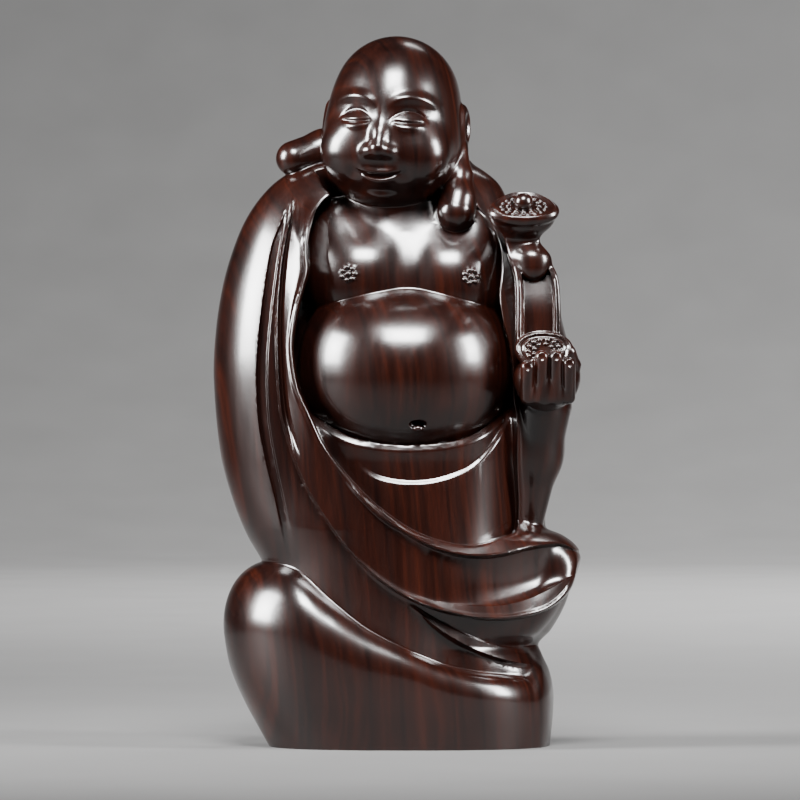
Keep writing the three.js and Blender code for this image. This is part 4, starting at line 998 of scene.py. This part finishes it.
def refine(points, triangles, most, shortest=0.07, turn=0.01, miss=0.01):
    """Halves the worst edges: those over which the surface turns, or whose middles miss it."""
    normals = corner_normals(points, triangles)
    edges = np.sort(triangles[:, [[0, 1], [1, 2], [2, 0]]], axis=2)
    code = edges[..., 0].astype(np.int64) * len(points) + edges[..., 1]
    unique, place = np.unique(code, return_inverse=True)
    place = place.reshape(code.shape)
    a, b = unique // len(points), unique % len(points)
    fault = np.abs(figure((points[a] + points[b]) / 2)) / miss
    turned = (1 - (normals * np.roll(normals, -1, 1)).sum(2)) / turn
    np.maximum.at(fault, place.ravel(), turned.ravel())
    fault[np.linalg.norm(points[a] - points[b], axis=1) < 2 * shortest] = 0
    split = fault > 1
    if split.sum() > most:
        split = fault > -np.partition(-fault, most)[most]
    number = np.full(len(unique), -1)
    number[split] = len(points) + np.arange(split.sum())
    middles = settle((points[a[split]] + points[b[split]]) / 2, 2)
    points = np.concatenate([points, middles])

    new = number[place]
    count = (new >= 0).sum(1)
    kept = [triangles[count == 0]]
    t, m = triangles[count == 3], new[count == 3]
    for i in range(3):
        kept.append(np.stack((t[:, i], m[:, i], m[:, i - 1]), 1))
    kept.append(m)
    for side in range(3):
        order = [side, (side + 1) % 3, (side + 2) % 3]
        only = (count == 1) & (new[:, side] >= 0)
        t, m = triangles[only][:, order], new[only][:, side]
        kept += [np.stack((t[:, 0], m, t[:, 2]), 1), np.stack((m, t[:, 1], t[:, 2]), 1)]
        both = (count == 2) & (new[:, side] < 0)
        t, m = triangles[both][:, order], new[both][:, order]
        kept += [
            np.stack((t[:, 0], t[:, 1], m[:, 1]), 1), np.stack((t[:, 0], m[:, 1], m[:, 2]), 1),
            np.stack((m[:, 2], m[:, 1], t[:, 2]), 1),
        ]
    return points, np.concatenate(kept)


def without_flaps(points, triangles):
    """Leaves out triangles that lie back to back on the same points, and points without a triangle."""
    corners = np.sort(triangles, axis=1)
    _, place, count = np.unique(corners, axis=0, return_inverse=True, return_counts=True)
    used, kept = np.unique(triangles[count[place.ravel()] == 1], return_inverse=True)
    return points[used], kept.reshape(-1, 3)


def mesh_arrays(mesh):
    """A triangle mesh's points, in units, and its triangles."""
    places = np.empty(len(mesh.vertices) * 3)
    mesh.vertices.foreach_get("co", places)
    corners = np.empty(len(mesh.loops), np.int32)
    mesh.loops.foreach_get("vertex_index", corners)
    return places.reshape(-1, 3) / UNIT, corners.reshape(-1, 3)


# Triangles to which even facets are thinned, those of the finished mesh, how many may be missing, and how
# many one round adds at most
FEW_FACETS = 120000
FACETS = 198000
FACETS_SPARE = 2000
FACETS_A_ROUND = 12000


def fill(mesh, points, triangles):
    mesh.clear_geometry()
    mesh.from_pydata((points * UNIT).tolist(), [], triangles.tolist())


def thin(piece):
    """The piece's mesh with as few facets as wanted, as points and triangles."""
    modifier = piece.modifiers.new("thin", "DECIMATE")
    modifier.ratio = FEW_FACETS / len(piece.data.polygons)
    modifier.use_collapse_triangulate = True
    thinned = piece.evaluated_get(bpy.context.evaluated_depsgraph_get())
    arrays = mesh_arrays(bpy.data.meshes.new_from_object(thinned))
    piece.modifiers.clear()
    return arrays


def carve(name):
    """The figure as one closed mesh of fine facets with smooth normals."""
    points, quads = surface_nets([grid_lines(GRID[axis]) for axis in "xyz"])
    points = settle(sharpen(settle(points), quads), 1)
    mesh = bpy.data.meshes.new(name)
    fill(mesh, *without_flaps(points, triangulate(points, quads)))
    piece = bpy.data.objects.new(name, mesh)
    bpy.context.scene.collection.objects.link(piece)

    if len(mesh.polygons) > FEW_FACETS:
        points, triangles = thin(piece)
        points = settle(points, 1)
        before = 0
        while before < len(triangles) < FACETS - FACETS_SPARE:
            before = len(triangles)
            most = min(FACETS_A_ROUND, (FACETS - before) // 2)
            points, triangles = refine(points, triangles, most)
        fill(mesh, *without_flaps(points, triangles))

    normals = corner_normals(*mesh_arrays(mesh))
    mesh.shade_smooth()
    mesh.normals_split_custom_set(normals.reshape(-1, 3).tolist())
    return piece


# Material

def make_node(tree, kind, inputs=None, **settings):
    made = tree.nodes.new(kind)
    for key, value in settings.items():
        setattr(made, key, value)
    for key, value in (inputs or {}).items():
        if isinstance(value, bpy.types.NodeSocket):
            tree.links.new(value, made.inputs[key])
        else:
            made.inputs[key].default_value = value
    return made


def ramp_node(tree, factor, stops):
    made = make_node(tree, "ShaderNodeValToRGB", {"Fac": factor})
    elements = made.color_ramp.elements
    while len(elements) < len(stops):
        elements.new(0.5)
    for element, (position, colour) in zip(elements, stops):
        element.position = position
        element.color = (*colour, 1)
    return made.outputs["Color"]


def maths(tree, operation, *values):
    return make_node(tree, "ShaderNodeMath", dict(enumerate(values)), operation=operation).outputs[0]


def noise(tree, place, stretch, detail):
    """A pattern that is finer or coarser along each axis, per metre."""
    stretched = make_node(tree, "ShaderNodeMapping", {"Vector": place, "Scale": stretch}).outputs[0]
    inputs = {"Vector": stretched, "Scale": 1.0, "Detail": detail}
    return make_node(tree, "ShaderNodeTexNoise", inputs).outputs


def ring_noise(tree, radius, rings, detail, roughness):
    """A pattern that changes only with the distance from the pith, with so many rings to a metre."""
    along = maths(tree, "MULTIPLY", radius, rings)
    inputs = {"W": along, "Scale": 1.0, "Detail": detail, "Roughness": roughness}
    return make_node(tree, "ShaderNodeTexNoise", inputs, noise_dimensions="1D").outputs["Fac"]


# The patterns of the wood: their stretch and detail, or rings, detail and roughness, and their shares
DRIFT = ((14, 14, 4), 3.0)
DRIFT_REACH = 0.03
FIBRE = ((2200, 2200, 70), 2.0)
STREAK = ((160, 160, 5), 3.0)
PATCH = ((11, 11, 3), 1.0)
RINGS = (260.0, 2.0, 0.6)
BANDS = (48.0, 1.0, 0.5)
TONE_SHARES = {"rings": 0.34, "bands": 0.3, "streak": 0.26, "patch": 0.3, "fibre": 0.16}
PITH = {"x": -0.2, "y": -0.03, "lean": 0.12}
WOOD_COLOURS = [
    (0.42, (0.001, 0.0003, 0.0002)), (0.58, (0.0026, 0.0006, 0.0004)), (0.7, (0.005, 0.001, 0.0005)),
    (0.82, (0.0095, 0.0017, 0.0007)), (0.95, (0.018, 0.0036, 0.0013)),
]
PORE = {"From Min": 0.3, "From Max": 0.42}
PORE_DEPTH = {"Strength": 0.08, "Distance": 0.0001}
POLISH = {"Coat Weight": 0.25, "Coat Roughness": 0.13, "IOR": 1.4}
POLISH_ROUGHNESS = {"least": 0.18, "streak": 0.1}


def rosewood():
    """Dark polished rosewood with straight grain up the figure and growth rings round its pith."""
    material = bpy.data.materials.new("rosewood")
    material.use_nodes = True
    tree = material.node_tree
    tree.nodes.clear()
    place = make_node(tree, "ShaderNodeTexCoord").outputs["Object"]
    drift = noise(tree, place, *DRIFT)["Color"]
    wander = make_node(tree, "ShaderNodeVectorMath", {0: drift, 1: (0.5, 0.5, 0.5)}, operation="SUBTRACT")
    scaled = make_node(
        tree, "ShaderNodeVectorMath", {0: wander.outputs[0], "Scale": DRIFT_REACH}, operation="SCALE",
    )
    bent = make_node(tree, "ShaderNodeVectorMath", {0: place, 1: scaled.outputs[0]}, operation="ADD")
    bent = bent.outputs[0]
    split = make_node(tree, "ShaderNodeSeparateXYZ", {0: bent}).outputs

    # Distance from the pith, which stands a little off plumb beside the figure
    pith_x = maths(tree, "ADD", maths(tree, "MULTIPLY", split[2], PITH["lean"]), PITH["x"])
    across = maths(tree, "ADD", split[0], pith_x)
    deep = maths(tree, "ADD", split[1], PITH["y"])
    squares = [maths(tree, "POWER", side, 2.0) for side in (across, deep)]
    radius = maths(tree, "SQRT", maths(tree, "ADD", *squares))

    patterns = {
        "rings": ring_noise(tree, radius, *RINGS), "bands": ring_noise(tree, radius, *BANDS),
        "fibre": noise(tree, bent, *FIBRE)["Fac"], "streak": noise(tree, bent, *STREAK)["Fac"],
        "patch": noise(tree, place, *PATCH)["Fac"],
    }
    tone = 0.0
    for name, part in TONE_SHARES.items():
        tone = maths(tree, "ADD", tone, maths(tree, "MULTIPLY", patterns[name], part))
    pore = make_node(tree, "ShaderNodeMapRange", {"Value": patterns["fibre"], **PORE}).outputs[0]
    uneven = maths(tree, "MULTIPLY", patterns["streak"], POLISH_ROUGHNESS["streak"])
    surface = make_node(tree, "ShaderNodeBsdfPrincipled", {
        "Base Color": ramp_node(tree, tone, WOOD_COLOURS),
        "Roughness": maths(tree, "ADD", POLISH_ROUGHNESS["least"], uneven),
        "Normal": make_node(tree, "ShaderNodeBump", {"Height": pore, **PORE_DEPTH}).outputs[0],
        **POLISH,
    })
    output = make_node(tree, "ShaderNodeOutputMaterial", {"Surface": surface.outputs[0]})
    tree.nodes.active = output
    return material


MOTTLE = {"Scale": 9.0, "Detail": 4.0}
FLOOR_COLOURS = [(0.3, (0.046, 0.0455, 0.045)), (0.7, (0.051, 0.0505, 0.05))]
FLOOR_ROUGHNESS = 0.75


def studio_floor():
    material = bpy.data.materials.new("studio_floor")
    material.use_nodes = True
    tree = material.node_tree
    surface = tree.nodes["Principled BSDF"]
    place = make_node(tree, "ShaderNodeTexCoord").outputs["Object"]
    mottle = make_node(tree, "ShaderNodeTexNoise", {"Vector": place, **MOTTLE}).outputs["Fac"]
    tree.links.new(ramp_node(tree, mottle, FLOOR_COLOURS), surface.inputs["Base Color"])
    surface.inputs["Roughness"].default_value = FLOOR_ROUGHNESS
    return material


# Studio

def sweep_floor(name, flat=4.2, bend=2.0, wall=2.2, steps=14, around=96):
    """A round floor that is flat out to one radius and then curves up into a wall, in metres."""
    outline = [(0.0, 0.0), (flat / 2, 0.0)]
    for i in range(steps + 1):
        a = math.pi / 2 * i / steps
        outline.append((flat + bend * math.sin(a), bend * (1 - math.cos(a))))
    outline.append((flat + bend, bend + wall))
    turns = [2 * math.pi * k / around for k in range(around)]
    points = [(r * math.cos(turn), r * math.sin(turn), z) for r, z in outline for turn in turns]
    faces = []
    for row in range(len(outline) - 1):
        low, high = row * around, (row + 1) * around
        for k in range(around):
            following = (k + 1) % around
            faces.append((low + k, low + following, high + following, high + k))
    mesh = bpy.data.meshes.new(name)
    mesh.from_pydata(points, [], faces)
    mesh.shade_smooth()
    floor = bpy.data.objects.new(name, mesh)
    bpy.context.scene.collection.objects.link(floor)
    mesh.materials.append(studio_floor())
    return floor


def soft_light(name, place, target, size, power, spread):
    """A light box of some watts; a spread below 180 degrees keeps its light together, as a grid does."""
    data = bpy.data.lights.new(name, "AREA")
    data.shape = "RECTANGLE"
    data.size, data.size_y = size
    data.energy = power
    data.spread = math.radians(spread)
    light = bpy.data.objects.new(name, data)
    light.location = place
    light.rotation_euler = (Vector(target) - Vector(place)).to_track_quat("-Z", "Y").to_euler()
    bpy.context.scene.collection.objects.link(light)


def front_camera(lens=300, sensor=36, span=0.452, middle=(0.0012, 0.0, 0.195)):
    """Looks level at the front; span is the height that fills the picture, in metres."""
    data = bpy.data.cameras.new("camera")
    data.lens, data.sensor_width = lens, sensor
    camera = bpy.data.objects.new("camera", data)
    distance = span * lens / sensor
    camera.location = Vector(middle) + distance * Vector((0, -1, 0))
    camera.rotation_euler = (math.pi / 2, 0, 0)
    bpy.context.scene.collection.objects.link(camera)
    bpy.context.scene.camera = camera


def studio_world(colour=(0.8, 0.82, 0.85, 1), strength=0.02):
    """A trace of light from all sides."""
    world = bpy.data.worlds.new("studio")
    world.use_nodes = True
    background = world.node_tree.nodes["Background"]
    background.inputs["Color"].default_value = colour
    background.inputs["Strength"].default_value = strength
    bpy.context.scene.world = world


FIGURE_MIDDLE = (0, 0, 0.22)
WALL_FOOT = (0.8, 3.4, 0.0)

front_camera()
studio_world()
sweep_floor("studio_sweep")
soft_light("left_strip", (-1.4, -0.45, 0.75), FIGURE_MIDDLE, (0.56, 0.9), 38, 70)
soft_light("right_strip", (1.35, -0.6, 0.75), FIGURE_MIDDLE, (0.36, 0.8), 19, 70)
soft_light("top_box", (0.0, -0.95, 1.35), FIGURE_MIDDLE, (0.55, 0.45), 17, 60)
soft_light("backdrop_box", (1.1, 2.25, 2.8), WALL_FOOT, (1.6, 1.2), 660, 125)

piece = carve("carved_budai")
piece.data.materials.append(rosewood())
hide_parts("budai_figure")
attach(piece, "root")
